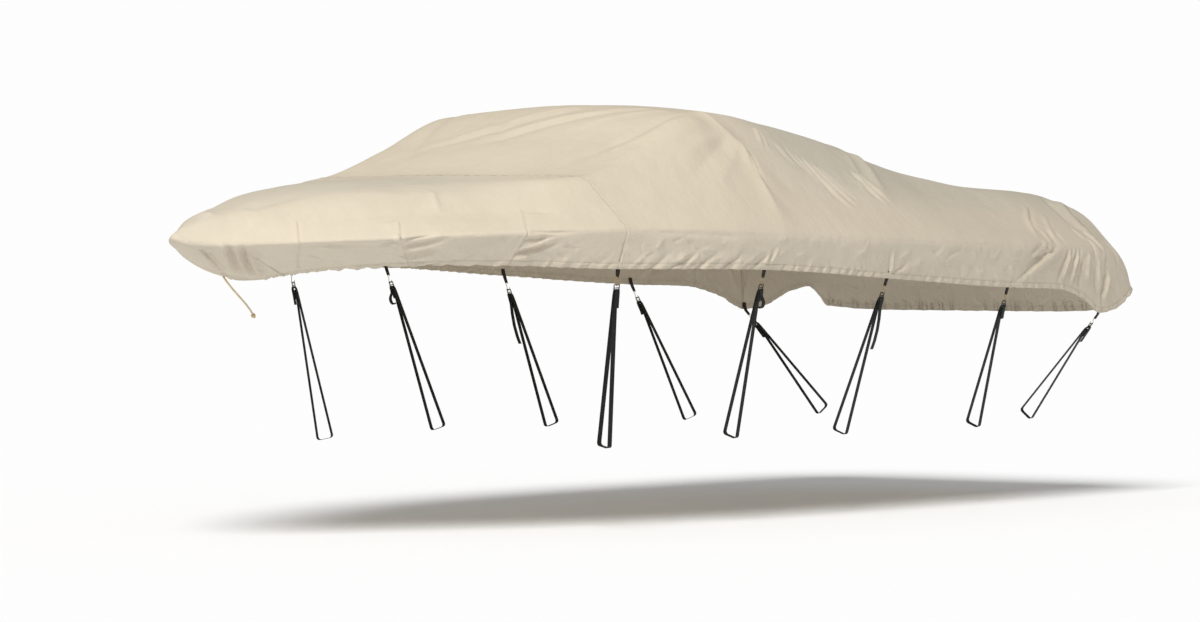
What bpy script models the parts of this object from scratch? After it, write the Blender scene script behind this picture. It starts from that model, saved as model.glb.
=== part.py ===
"""Fitted cloth cover for an open motor boat, with its ten sewn loops, hooks, buckles and straps.

The tables give places in metres: x aft of a plumb line just ahead of the bow, y to starboard of
the centre line and z above the ground. The model's own origin is PEAK, the underside of the cloth
at the highest point of its top, with +X to the stern, +Y to starboard and +Z up.
"""
import math

import bmesh
import bpy
import numpy as np
from mathutils import Vector

# ---------------------------------------------------------------- driving sizes, in metres
PEAK = np.array((3.300, 0.0, 1.955))   # where the cloth hangs from: under its highest point
CLOTH = 0.002                          # the proofed canvas
SEAM_GAP = 0.0015                      # between two panels, across their seam
FRONT_SEAM_X = 2.050                   # straight seam across the foot of the windscreen
STERN_SEAM_X = 6.080                   # straight seam ahead of the transom
FAN_POLE_X = 0.420                     # forward end of the foredeck's middle line
GUNWALE_ROLL = 0.035                   # half the width of the soft bend over the gunwale
STEM_BULGE = 0.026                     # how far the skirt stands out round the stem
STEM_BULGE_REACH = 0.60                # and how far along the gunwale that goes

WEBBING = 0.025                        # width of the strap
WEBBING_THICK = 0.0018
TAB_TOP = 0.026                        # width of the sewn loop at the hem, and at its fold
TAB_FOLD = 0.012
TAB_THICK = 0.0014
TAB_DROP = 0.036                       # hem to the middle of the loop's fold
TAB_SEWN = 0.034                       # how far the loop runs up inside the hem
TAB_INSET = 0.0062                     # the loop's middle, inside the cloth's outer face
TAB_HALF_GAP = 0.0014                  # half the distance between the loop's two layers
TAB_EYE = 0.004                        # radius of the fold's own centre line
HOOK_WIRE = 0.0016                     # radius of the hook's wire
BUCKLE_WIDTH = 0.034
BUCKLE_THICK = 0.004
BUCKLE_BAR = 0.004
BUCKLE_TOP = 0.0359                    # the fold of the loop down to the buckle's upper edge
BUCKLE_WINDOWS = (0.011, 0.008, 0.011) # heights of the hook's window and the strap's two
RAIL_HALF = 0.0375                     # half the width of the rail that the strap goes round
RAIL_CORNER = 0.012                    # how far the strap rounds off the rail's lower corners
ROPE = 0.0045                          # radius of the bow rope

# The two edges of the skirt, from the stem along one side to the middle of the transom:
# (gunwale x, y, z, hem x, y, z)
OUTLINE = (
    (0.060, 0.000, 1.335, 0.560, 0.000, 1.148),
    (0.070, 0.022, 1.328, 0.565, 0.030, 1.149),
    (0.120, 0.055, 1.316, 0.590, 0.070, 1.152),
    (0.250, 0.145, 1.306, 0.640, 0.135, 1.165),
    (0.450, 0.288, 1.310, 0.740, 0.225, 1.183),
    (0.750, 0.490, 1.325, 0.930, 0.410, 1.202),
    (1.100, 0.690, 1.342, 1.200, 0.610, 1.212),
    (1.500, 0.855, 1.358, 1.540, 0.775, 1.208),
    (2.050, 1.010, 1.371, 2.060, 0.945, 1.192),
    (2.500, 1.092, 1.365, 2.500, 1.045, 1.190),
    (3.000, 1.145, 1.350, 3.000, 1.105, 1.183),
    (4.000, 1.183, 1.325, 4.000, 1.135, 1.136),
    (5.100, 1.178, 1.300, 5.100, 1.135, 1.083),
    (5.600, 1.158, 1.290, 5.590, 1.125, 1.070),
    (5.900, 1.135, 1.284, 5.870, 1.105, 1.018),
    (6.080, 1.115, 1.270, 6.070, 1.085, 0.945),
    (6.270, 1.085, 1.235, 6.255, 1.070, 0.965),
    (6.430, 1.035, 1.165, 6.445, 1.045, 1.035),
    (6.510, 0.965, 1.110, 6.550, 0.985, 1.062),
    (6.530, 0.860, 1.100, 6.570, 0.880, 0.960),
    (6.530, 0.450, 1.100, 6.575, 0.450, 0.940),
    (6.530, 0.000, 1.100, 6.575, 0.000, 0.940),
)

# The top's cross-sections: (x, shoulder's place as a share of the half breadth, height there,
# height on the middle line, softness of the shoulder)
SECTIONS = (
    (0.06, 0.45, 1.336, 1.337, 0.01),
    (0.12, 0.45, 1.348, 1.362, 0.01),
    (0.25, 0.50, 1.405, 1.418, 0.02),
    (0.45, 0.50, 1.447, 1.465, 0.03),
    (0.75, 0.50, 1.503, 1.527, 0.03),
    (1.10, 0.50, 1.545, 1.566, 0.03),
    (1.50, 0.57, 1.573, 1.594, 0.03),
    (2.05, 0.76, 1.608, 1.616, 0.03),
    (2.50, 0.69, 1.735, 1.772, 0.05),
    (2.98, 0.63, 1.900, 1.945, 0.06),
    (3.30, 0.58, 1.900, 1.957, 0.06),
    (3.80, 0.54, 1.850, 1.922, 0.08),
    (4.50, 0.52, 1.745, 1.815, 0.08),
    (4.75, 0.56, 1.670, 1.730, 0.08),
    (5.00, 0.60, 1.625, 1.660, 0.08),
    (5.40, 0.66, 1.577, 1.600, 0.06),
    (5.95, 0.70, 1.547, 1.561, 0.05),
    (6.24, 0.83, 1.422, 1.433, 0.03),
    (6.33, 0.87, 1.345, 1.353, 0.03),
    (6.44, 0.90, 1.235, 1.241, 0.02),
    (6.53, 0.92, 1.101, 1.102, 0.01),
)

# Main folds of the top, a soft ridge (+) or trough (-) along a line: (x, y, x, y, height, half width)
TOP_FOLDS = (
    (3.06, -0.62, 3.20, -0.82, 0.014, 0.050),
    (3.20, -0.82, 3.14, -1.10, 0.012, 0.055),
    (3.05, 0.62, 3.19, 0.83, 0.013, 0.050),
    (3.19, 0.83, 3.17, 1.10, 0.010, 0.055),
    (3.00, -0.60, 3.00, 0.60, 0.006, 0.060),
    (2.27, 0.60, 2.87, -0.30, -0.010, 0.060),
    (2.16, -0.45, 3.00, -0.70, -0.011, 0.055),
    (2.30, 0.62, 2.90, 0.55, -0.009, 0.060),
    (4.50, -0.62, 4.24, -0.96, 0.013, 0.055),
    (4.50, 0.62, 4.26, 0.98, 0.011, 0.055),
    (4.52, -0.56, 4.50, 0.56, 0.009, 0.055),
    (3.66, -0.82, 3.92, -1.05, -0.010, 0.045),
    (3.60, 0.84, 3.84, 1.06, -0.009, 0.045),
    (3.40, -0.30, 4.30, -0.36, -0.008, 0.110),
    (3.45, 0.34, 4.25, 0.28, -0.009, 0.110),
    (4.80, 0.10, 5.70, 0.16, -0.007, 0.140),
    (0.62, -0.29, 2.00, -0.86, -0.006, 0.060),
    (0.62, 0.30, 2.00, 0.87, -0.006, 0.060),
    (0.95, -0.30, 1.95, -0.74, 0.005, 0.060),
    (0.95, 0.31, 1.95, 0.73, 0.005, 0.060),
    (5.64, -0.90, 5.42, -1.06, -0.007, 0.035),
    (5.98, -0.98, 6.00, -1.08, -0.010, 0.045),
    (5.96, 0.96, 6.02, 1.08, -0.009, 0.045),
)

# Main folds of the skirt: (side, gunwale x, share of the way down, x, share, depth, half width)
SKIRT_FOLDS = (
    (-1, 5.170, 0.72, 5.560, 0.02, -0.013, 0.022),
    (-1, 5.640, 0.85, 5.680, 0.05, -0.008, 0.018),
    (-1, 5.760, 0.88, 5.785, 0.05, -0.009, 0.018),
    (-1, 5.980, 0.20, 6.030, 0.72, -0.008, 0.018),
    (-1, 1.500, 0.10, 1.450, 0.80, -0.006, 0.020),
    (-1, 0.930, 0.10, 0.950, 0.80, -0.006, 0.020),
    (-1, 0.240, 0.15, 0.120, 0.75, -0.007, 0.018),
    (-1, 0.310, 0.15, 0.180, 0.80, -0.007, 0.018),
    (1, 5.200, 0.70, 5.600, 0.05, -0.012, 0.022),
    (1, 5.700, 0.85, 5.730, 0.05, -0.009, 0.018),
    (1, 5.840, 0.85, 5.850, 0.05, -0.008, 0.018),
    (1, 1.560, 0.10, 1.520, 0.80, -0.006, 0.020),
    (1, 0.880, 0.10, 0.900, 0.80, -0.006, 0.020),
    (1, 0.290, 0.15, 0.160, 0.80, -0.007, 0.018),
)

# Rows across the boat: closer where the cloth bends, (to which place, how many steps). The front
# and stern panels' places are distances along the gunwale, the body's are stations
FRONT_ROWS = ((0.36, 7), (None, 15))
BODY_ROWS = ((3.35, 14), (5.15, 13), (None, 14))
STERN_ROWS = ((6.95, 9), (None, 4))
TOP_STEPS, ROLL_STEPS, SKIRT_STEPS = 7, 2, 3

# The tie-downs: (number, gunwale x, rail x, rail y, rail z)
TIES = (
    (1, 2.05, 2.15, 0.80, 0.39),
    (2, 3.00, 3.09, 0.85, 0.41),
    (3, 4.00, 4.02, 0.85, 0.40),
    (4, 5.10, 5.23, 0.85, 0.40),
    (5, 6.08, 6.12, 0.62, 0.42),
)
SIDES = (("port", -1), ("starboard", 1))

# The strap's way, (outboard, down) from the buckle's upper edge: its sewn end round the lower bar,
# then, when it is back from the rail, through the middle window, and last its free tail
SEWN_END = ((0.0047, 0.0840), (0.0047, 0.0440), (0.0033, 0.0407), (0.0, 0.0393), (-0.0033, 0.0407),
            (-0.0047, 0.0440), (-0.0047, 0.0560))
THROUGH_BUCKLE = ((-0.0100, 0.0530), (-0.0085, 0.0361), (-0.0050, 0.0271), (0.0, 0.0230), (0.0035, 0.0217),
                  (0.0062, 0.0223), (0.0079, 0.0251), (0.0090, 0.0301), (0.0098, 0.0410))
TAILS = {
    1: ((0.0100, 0.066), (0.0112, 0.108)),
    2: ((0.0115, 0.054), (0.0230, 0.064), (0.0330, 0.078), (0.0335, 0.098), (0.0235, 0.112), (0.0140, 0.104)),
    3: ((0.0120, 0.076), (0.0240, 0.126), (0.0330, 0.181), (0.0360, 0.236), (0.0340, 0.278)),
    4: ((0.0100, 0.066), (0.0125, 0.094)),
    5: ((0.0102, 0.066), (0.0118, 0.116)),
}

# The hook's wire: (along the hem, outboard, down) from the loop's fold
HOOK_WIRE_PATH = (
    (0.0092, 0.0, 0.0100), (0.0086, 0.0, 0.0040), (0.0056, 0.0, -0.0002), (0.0, 0.0, -0.0018),
    (-0.0056, 0.0, -0.0002), (-0.0086, 0.0, 0.0045), (-0.0080, 0.0, 0.0110), (-0.0040, 0.0008, 0.0170),
    (-0.0008, 0.0045, 0.0235), (0.0, 0.0080, 0.0310), (0.0, 0.0072, 0.0375), (0.0, 0.0045, 0.0412),
    (0.0, 0.0, 0.0425), (0.0, -0.0045, 0.0412), (0.0, -0.0072, 0.0375), (0.0, -0.0080, 0.0300),
)

# The bow rope, from the stem: (x, y, z)
ROPE_ROUTE = (
    (0.4285, 0.0, 1.1668), (0.4400, 0.0, 1.1565), (0.4585, 0.001, 1.1405), (0.4800, 0.002, 1.1235),
    (0.5030, 0.002, 1.1055), (0.5280, 0.001, 1.0865), (0.5530, 0.0, 1.0675), (0.5780, -0.001, 1.0480),
    (0.6020, -0.002, 1.0275), (0.6240, -0.002, 1.0060), (0.6430, -0.001, 0.9830),
)

CANVAS = (0.58, 0.53, 0.44)
WEBBING_BLACK = (0.02, 0.022, 0.02)
TAB_BROWN = (0.03, 0.022, 0.018)
BRASSED_STEEL = (0.45, 0.36, 0.2)
BLACKED_STEEL = (0.03, 0.03, 0.03)
ROPE_CREAM = (0.75, 0.6, 0.33)


# ---------------------------------------------------------------- smooth curves through the tables
def column(table, index):
    return np.array([row[index] for row in table])


def curve(t, knots, values):
    """A smooth curve through the points that never swings past them."""
    t = np.asarray(t, float)
    step = np.diff(knots)
    rise = np.diff(values) / step
    slope = np.zeros(len(knots))
    slope[0] = rise[0]
    slope[-1] = rise[-1]
    for i in range(1, len(knots) - 1):
        if rise[i - 1] * rise[i] > 0:
            before = 2 * step[i] + step[i - 1]
            after = step[i] + 2 * step[i - 1]
            slope[i] = (before + after) / (before / rise[i - 1] + after / rise[i])
    k = np.clip(np.searchsorted(knots, t, side="right") - 1, 0, len(knots) - 2)
    s = np.clip((t - knots[k]) / step[k], 0, 1)
    start = (2 * s**3 - 3 * s**2 + 1) * values[k] + (s**3 - 2 * s**2 + s) * step[k] * slope[k]
    end = (3 * s**2 - 2 * s**3) * values[k + 1] + (s**3 - s**2) * step[k] * slope[k + 1]
    return start + end


def soft_min(a, b, softness):
    share = np.clip(0.5 + 0.5 * (b - a) / softness, 0, 1)
    return b * (1 - share) + a * share - softness * share * (1 - share)


GUNWALE_X, GUNWALE_Y, GUNWALE_Z = (column(OUTLINE, i) for i in range(3))
ALONG = np.concatenate(([0.0], np.cumsum(np.hypot(np.diff(GUNWALE_X), np.diff(GUNWALE_Y)))))
SIDE_KNOTS = int((GUNWALE_X < GUNWALE_X[-1] - 1e-6).sum()) + 1
SECTION_X = column(SECTIONS, 0)


def skirt_edges(along):
    """The gunwale and the hem at a distance along the gunwale from the stem."""
    values = [curve(along, ALONG, column(OUTLINE, i)) for i in range(6)]
    return np.array(values[:3]), np.array(values[3:])


def along_at(x):
    """The distance along the gunwale of a station."""
    return float(np.interp(x, GUNWALE_X[:SIDE_KNOTS], ALONG[:SIDE_KNOTS]))


# ---------------------------------------------------------------- the cloth's surface
def fold_height(u, v, u0, v0, u1, v1, height, half_width):
    """A soft ridge along a line, fading at its ends."""
    run = np.array((u1 - u0, v1 - v0))
    length = float(np.hypot(*run))
    run = run / length
    past = (u - u0) * run[0] + (v - v0) * run[1]
    aside = (u - u0) * run[1] - (v - v0) * run[0]
    beyond = np.maximum(0.0, np.maximum(-past, past - length))
    return height * math.exp(-(aside / half_width) ** 2) * math.exp(-(beyond / half_width) ** 2)


def top_height(x, y):
    """The height of the top at a place, with its main folds."""
    breadth = max(float(curve(x, GUNWALE_X[:SIDE_KNOTS], GUNWALE_Y[:SIDE_KNOTS])), 1e-4)
    gunwale = float(curve(x, GUNWALE_X[:SIDE_KNOTS], GUNWALE_Z[:SIDE_KNOTS]))
    share, shoulder, middle, softness = (float(curve(x, SECTION_X, column(SECTIONS, i))) for i in range(1, 5))
    reach = abs(y)
    shoulder_y = share * breadth
    crown = middle - (middle - shoulder) * (reach / shoulder_y) ** 2
    side = shoulder + (gunwale - shoulder) * (reach - shoulder_y) / (breadth - shoulder_y)
    height = float(soft_min(crown, side, softness))
    folds = sum(fold_height(x, y, *fold) for fold in TOP_FOLDS)
    return height + folds * min(1.0, (breadth - reach) / (3 * GUNWALE_ROLL))


def skirt_fold(along, down, depth_of_skirt, side):
    total = 0.0
    for fold_side, x0, share0, x1, share1, depth, half_width in SKIRT_FOLDS:
        if fold_side == side:
            total += fold_height(along, down * depth_of_skirt, along_at(x0), share0 * depth_of_skirt,
                                 along_at(x1), share1 * depth_of_skirt, depth, half_width)
    return total * min(1.0, 4 * (1 - down))


def skirt_frame(along):
    """At one place on the skirt: gunwale, hem, and the directions along, down and outwards."""
    gunwale, hem = skirt_edges(along)
    step = 0.01
    ahead = skirt_edges(min(along + step, ALONG[-1]))[1]
    behind = skirt_edges(max(along - step, 0.0))[1]
    run = ahead - behind
    if along < step:
        run = np.array((0.0, 1.0, 0.0))
    if along > ALONG[-1] - step:
        run = np.array((0.0, -1.0, 0.0))
    run = run / np.linalg.norm(run)
    down = (hem - gunwale) / np.linalg.norm(hem - gunwale)
    out = np.cross(run, down)
    return gunwale, hem, run, down, out / np.linalg.norm(out)


def cloth_row(along, inner_x, side):
    """One row of the cloth, from the middle line over the gunwale and down to the hem."""
    gunwale, hem, _, _, out = skirt_frame(along)
    reach = math.hypot(gunwale[0] - inner_x, gunwale[1])
    skirt = np.linalg.norm(hem - gunwale)
    bend_top = 1 - min(GUNWALE_ROLL / reach, 0.3)
    bend_skirt = GUNWALE_ROLL / skirt

    def top(share):
        x = inner_x + (gunwale[0] - inner_x) * share
        y = gunwale[1] * share
        return np.array((x, y, top_height(x, y * side)))

    def down(share):
        fold = skirt_fold(along, share, skirt, side)
        bulge = STEM_BULGE * math.sin(math.pi * share) * max(0.0, 1 - along / STEM_BULGE_REACH)
        return gunwale + (hem - gunwale) * share + out * (fold + bulge)

    points = [top(share) for share in np.linspace(0, bend_top, TOP_STEPS + 1)]
    before, after = top(bend_top), down(bend_skirt)
    for share in np.linspace(0, 1, ROLL_STEPS + 1)[1:]:
        points.append((1 - share)**2 * before + 2 * share * (1 - share) * gunwale + share**2 * after)
    points += [down(share) for share in np.linspace(bend_skirt, 1, SKIRT_STEPS + 1)[1:]]
    return [np.array((p[0], p[1] * side, p[2])) for p in points]


def steps(table, start, end):
    """The rows' places from one edge of a panel to the other."""
    places = [start]
    for to, count in table:
        places += list(np.linspace(places[-1], end if to is None else to, count + 1)[1:])
    return places


def front_rows():
    last = along_at(FRONT_SEAM_X) - SEAM_GAP / 2
    places = steps(FRONT_ROWS, 0.0, last)
    rows = []
    for side, stretch in ((1, places[:0:-1]), (-1, places)):
        for along in stretch:
            x = float(skirt_edges(along)[0][0])
            rows.append(cloth_row(along, min(max(x, FAN_POLE_X), FRONT_SEAM_X - SEAM_GAP / 2), side))
    return rows


def body_rows():
    rows = []
    for x in steps(BODY_ROWS, FRONT_SEAM_X + SEAM_GAP / 2, STERN_SEAM_X - SEAM_GAP / 2):
        port, starboard = (cloth_row(along_at(x), x, side) for side in (-1, 1))
        rows.append(starboard[::-1] + port[1:])
    return rows


def stern_rows():
    start = STERN_SEAM_X + SEAM_GAP / 2
    places = steps(STERN_ROWS, along_at(start), ALONG[-1])
    rows = [cloth_row(along, start, -1) for along in places]
    return rows + [cloth_row(along, start, 1) for along in places[-2::-1]]


# ---------------------------------------------------------------- making the objects
def finish(name, colour, roughness, metallic=0.0):
    material = bpy.data.materials.new(name)
    material.use_nodes = True
    shader = material.node_tree.nodes["Principled BSDF"]
    shader.inputs["Base Color"].default_value = (*colour, 1.0)
    shader.inputs["Roughness"].default_value = roughness
    shader.inputs["Metallic"].default_value = metallic
    return material


def add_object(name, data, material, collection):
    thing = bpy.data.objects.new(name, data)
    data.materials.append(material)
    collection.objects.link(thing)
    return thing


def grid_mesh(name, rows):
    """A grid whose points go to the given rows, one list of places for each row."""
    down, across = len(rows) - 1, len(rows[0]) - 1
    mesh = bmesh.new()
    bmesh.ops.create_grid(mesh, x_segments=across, y_segments=down, size=1.0)
    for vertex in mesh.verts:
        col = round((vertex.co.x + 1) / 2 * across)
        row = round((vertex.co.y + 1) / 2 * down)
        vertex.co = Vector(rows[row][col] - PEAK)
    bmesh.ops.remove_doubles(mesh, verts=mesh.verts, dist=1e-5)
    data = bpy.data.meshes.new(name)
    mesh.to_mesh(data)
    mesh.free()
    return data


def thicken(thing, thickness, offset):
    solid = thing.modifiers.new("thickness", "SOLIDIFY")
    solid.thickness = thickness
    solid.offset = offset


def add_panel(name, rows, material, collection):
    data = grid_mesh(name, rows)
    data.shade_smooth()
    thicken(add_object(name, data, material, collection), CLOTH, -1.0)


def add_wire(name, points, radius, material, collection):
    data = bpy.data.curves.new(name, "CURVE")
    data.dimensions = "3D"
    data.bevel_depth = radius
    data.bevel_resolution = 2
    data.use_fill_caps = True
    spline = data.splines.new("POLY")
    spline.points.add(len(points) - 1)
    for place, point in zip(spline.points, points):
        place.co = (*(point - PEAK), 1.0)
    return add_object(name, data, material, collection)


# ---------------------------------------------------------------- the tie-downs
class TieDown:
    """Where one tie-down hangs: its directions at the hem, and below it towards the rail."""

    def __init__(self, gunwale_x, rail, side):
        mirror = np.array((1.0, side, 1.0))
        _, hem, run, down, out = skirt_frame(along_at(gunwale_x))
        self.hem = (hem - out * TAB_INSET) * mirror
        self.hem_run, self.hem_down, self.hem_out = run * mirror, down * mirror, out * mirror
        way = rail * mirror - self.hem
        self.down = way / np.linalg.norm(way)
        self.fold = self.hem + self.down * TAB_DROP
        self.reach = float(np.linalg.norm(rail * mirror - self.fold))
        run = self.hem_run - self.down * float(self.hem_run @ self.down)
        self.run = run / np.linalg.norm(run)
        out = np.cross(self.down, self.run)
        self.out = out * math.copysign(1.0, float(out @ self.hem_out))

    def place(self, along, outboard, down):
        return self.fold + self.run * along + self.out * outboard + self.down * down


def strip_rows(centres, directions, widths):
    """The two edges of a strip along its centre line."""
    return [[c - d * w / 2, c + d * w / 2] for c, d, w in zip(centres, directions, widths)]


def add_strip(name, rows, thickness, material, collection):
    thing = add_object(name, grid_mesh(name, rows), material, collection)
    thicken(thing, thickness, 0.0)


def add_tab(name, tie, material, collection):
    """The folded loop: down one layer, round its fold and up the other."""
    centres, directions, widths = [], [], []
    for layer in (1, -1):
        leg = [(tie.hem - tie.hem_down * up + tie.hem_out * TAB_HALF_GAP * layer, tie.hem_run, TAB_TOP)
               for up in (TAB_SEWN, TAB_SEWN / 3)]
        leg.append((tie.place(0, TAB_HALF_GAP * layer, -TAB_DROP * 0.72), tie.run, TAB_TOP * 0.9))
        leg.append((tie.place(0, TAB_HALF_GAP * layer, -TAB_DROP * 0.42), tie.run, TAB_TOP * 0.68))
        leg.append((tie.place(0, TAB_EYE * 0.8 * layer, -TAB_EYE * 1.5), tie.run, TAB_FOLD))
        leg.append((tie.place(0, TAB_EYE * layer, 0), tie.run, TAB_FOLD))
        turn = TAB_EYE * math.sqrt(0.5)
        leg.append((tie.place(0, turn * layer, turn), tie.run, TAB_FOLD))
        if layer == 1:
            leg.append((tie.place(0, 0, TAB_EYE), tie.run, TAB_FOLD))
        for centre, direction, width in leg[::layer]:
            centres.append(centre)
            directions.append(direction)
            widths.append(width)
    add_strip(name, strip_rows(centres, directions, widths), TAB_THICK, material, collection)


def strap_route(number, reach):
    """The strap's centre line from its sewn end round the rail to its tail: (outboard, down)."""
    rail = [(RAIL_HALF, reach - RAIL_CORNER), (RAIL_HALF - RAIL_CORNER * 0.3, reach - RAIL_CORNER * 0.3),
            (RAIL_HALF - RAIL_CORNER, reach)]
    back = [(-out, down) for out, down in rail[::-1]]
    before = [(out, BUCKLE_TOP + down) for out, down in SEWN_END]
    after = [(out, BUCKLE_TOP + down) for out, down in THROUGH_BUCKLE + TAILS[number]]
    return before + rail + back + after


def add_strap(name, number, tie, material, collection):
    centres = [tie.place(0, out, down) for out, down in strap_route(number, tie.reach)]
    count = len(centres)
    add_strip(name, strip_rows(centres, [tie.run] * count, [WEBBING] * count), WEBBING_THICK, material, collection)


def add_buckle(name, tie, material, collection):
    """A flat frame with a window for the hook and two for the strap."""
    data = bpy.data.curves.new(name, "CURVE")
    data.dimensions = "2D"
    data.fill_mode = "BOTH"
    data.extrude = BUCKLE_THICK / 2
    half = BUCKLE_WIDTH / 2
    cut = BUCKLE_BAR * 0.75
    height = sum(BUCKLE_WINDOWS) + BUCKLE_BAR * (len(BUCKLE_WINDOWS) + 1)
    outlines = [[(-half + cut, 0), (half - cut, 0), (half, cut), (half, height - cut), (half - cut, height),
                 (-half + cut, height), (-half, height - cut), (-half, cut)]]
    edge = half - BUCKLE_BAR
    top = BUCKLE_BAR
    for window in BUCKLE_WINDOWS:
        outlines.append([(-edge, top), (edge, top), (edge, top + window), (-edge, top + window)])
        top += window + BUCKLE_BAR
    for outline in outlines:
        spline = data.splines.new("POLY")
        spline.use_cyclic_u = True
        spline.points.add(len(outline) - 1)
        for place, (across, down) in zip(spline.points, outline):
            place.co = (across, -down, 0.0, 1.0)
    thing = add_object(name, data, material, collection)
    up = Vector(-tie.down)
    across = Vector(tie.run)
    facing = across.cross(up)
    turn = thing.matrix_world.copy()
    for row in range(3):
        turn[row][0], turn[row][1], turn[row][2] = across[row], up[row], facing[row]
    turn.translation = Vector(tie.place(0, 0, BUCKLE_TOP) - PEAK)
    thing.matrix_world = turn


def add_tie_down(number, gunwale_x, rail, side_name, side, finishes, collection):
    tie = TieDown(gunwale_x, rail, side)
    label = f"{side_name}_{number}"
    add_tab(f"tab_{label}", tie, finishes["tab"], collection)
    wire = [tie.place(*point) for point in HOOK_WIRE_PATH]
    add_wire(f"hook_{label}", wire, HOOK_WIRE, finishes["hook"], collection)
    add_buckle(f"buckle_{label}", tie, finishes["buckle"], collection)
    add_strap(f"strap_{label}", number, tie, finishes["strap"], collection)


# ---------------------------------------------------------------- the whole cover
def clear_scene():
    for thing in list(bpy.data.objects):
        bpy.data.objects.remove(thing, do_unlink=True)


def main():
    clear_scene()
    collection = bpy.data.collections.new("boat_cover")
    bpy.context.scene.collection.children.link(collection)
    canvas = finish("canvas", CANVAS, 0.9)
    finishes = {
        "tab": finish("tab_webbing", TAB_BROWN, 0.85),
        "hook": finish("hook_wire", BRASSED_STEEL, 0.35, 1.0),
        "buckle": finish("buckle_steel", BLACKED_STEEL, 0.5, 0.6),
        "strap": finish("strap_webbing", WEBBING_BLACK, 0.8),
    }
    add_panel("front_panel", front_rows(), canvas, collection)
    add_panel("body_panel", body_rows(), canvas, collection)
    add_panel("stern_panel", stern_rows(), canvas, collection)
    for number, gunwale_x, *rail in TIES:
        for side_name, side in SIDES:
            add_tie_down(number, gunwale_x, np.array(rail), side_name, side, finishes, collection)
    rope = [np.array(point) for point in ROPE_ROUTE]
    add_wire("bow_rope", rope, ROPE, finish("rope", ROPE_CREAM, 0.8), collection)


main()
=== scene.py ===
"""The looks of a fitted canvas cover for an open motor boat, drawn tight by ten tie-down straps.

Places in the tables are in metres: x aft of a plumb line just ahead of the bow, y to starboard of
the centre line and z above the ground. PEAK, the underside of the cloth at its highest point, is
the origin of the model: +X to the stern, +Y to starboard, +Z up.
"""
import math

import bmesh
import bpy
import numpy as np
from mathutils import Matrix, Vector


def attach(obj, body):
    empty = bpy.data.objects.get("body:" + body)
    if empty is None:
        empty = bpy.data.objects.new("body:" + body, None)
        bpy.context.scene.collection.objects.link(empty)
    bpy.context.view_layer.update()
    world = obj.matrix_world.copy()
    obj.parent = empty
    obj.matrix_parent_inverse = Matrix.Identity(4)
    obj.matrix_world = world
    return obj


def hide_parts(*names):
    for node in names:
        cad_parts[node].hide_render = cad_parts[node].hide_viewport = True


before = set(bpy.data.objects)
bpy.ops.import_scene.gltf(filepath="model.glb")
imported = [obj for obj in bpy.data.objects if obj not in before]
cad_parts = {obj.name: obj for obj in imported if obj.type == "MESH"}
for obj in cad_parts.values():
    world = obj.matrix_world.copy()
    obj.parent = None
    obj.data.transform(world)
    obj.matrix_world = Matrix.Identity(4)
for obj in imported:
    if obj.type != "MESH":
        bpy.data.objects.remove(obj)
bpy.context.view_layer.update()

# ---------------------------------------------------------------- sizes, in metres
PEAK = np.array((3.300, 0.0, 1.955))
CLOTH = 0.0012                 # canvas as it shows at an edge
FRONT_SEAM_X = 2.050
STERN_SEAM_X = 6.080
FAN_POLE_X = 0.420
# half the width of the bend over the gunwale: (distance from the stem, half width)
GUNWALE_ROLL = ((0.0, 0.048), (0.12, 0.040), (0.30, 0.022), (2.20, 0.022), (3.20, 0.030), (4.60, 0.045),
                (5.60, 0.050), (6.30, 0.040), (7.74, 0.035))
STEM_BULGE = 0.026             # how far the skirt swells at the stem, and where that ends
STEM_BULGE_REACH = 0.60
LAP = 0.007                    # half the overlap of two panels at their seam
LAP_STEP = 0.0014              # how far the upper panel stands off the lower one there
SEAM_EDGE = LAP * 0.6          # how far the front and stern panels reach past their seams
HEM_WIDTH = 0.026              # the turned-up hem
HEM_STEP = 0.0016              # how far it stands proud
HEM_CLOTH = 0.0026             # the doubled cloth of the hem

WEBBING = 0.025
WEBBING_THICK = 0.0018
TAB_TOP = 0.0235               # the loop's width at the hem
TAB_NARROWED = 0.0150          # its width just above the fold
TAB_FOLD = 0.012               # and at the fold
TAB_THICK = 0.0014
TAB_DROP = 0.036
TAB_SEWN = 0.034
TAB_INSET = 0.0062
TAB_HALF_GAP = 0.0014
TAB_EYE = 0.004
HOOK_WIRE = 0.0016
BUCKLE_WIDTH = 0.034
BUCKLE_THICK = 0.004
BUCKLE_BAR = 0.004
BUCKLE_TOP = 0.0359
BUCKLE_WINDOWS = (0.011, 0.008, 0.011)
RAIL_HALF = 0.0375
RAIL_CORNER = 0.012
ROPE = 0.0045
KNOT_TURNS = 2.6               # the stopper knot: its turns, how far out they run, its length
KNOT_REACH = 0.0062
KNOT_LENGTH = 0.019
KNOT_SQUEEZE = 0.92            # the rope's thickness in the knot, as a share of its own
KNOT_POINTS = 96
KNOT_ROWS = 150
ROPE_ROWS = 180

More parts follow.
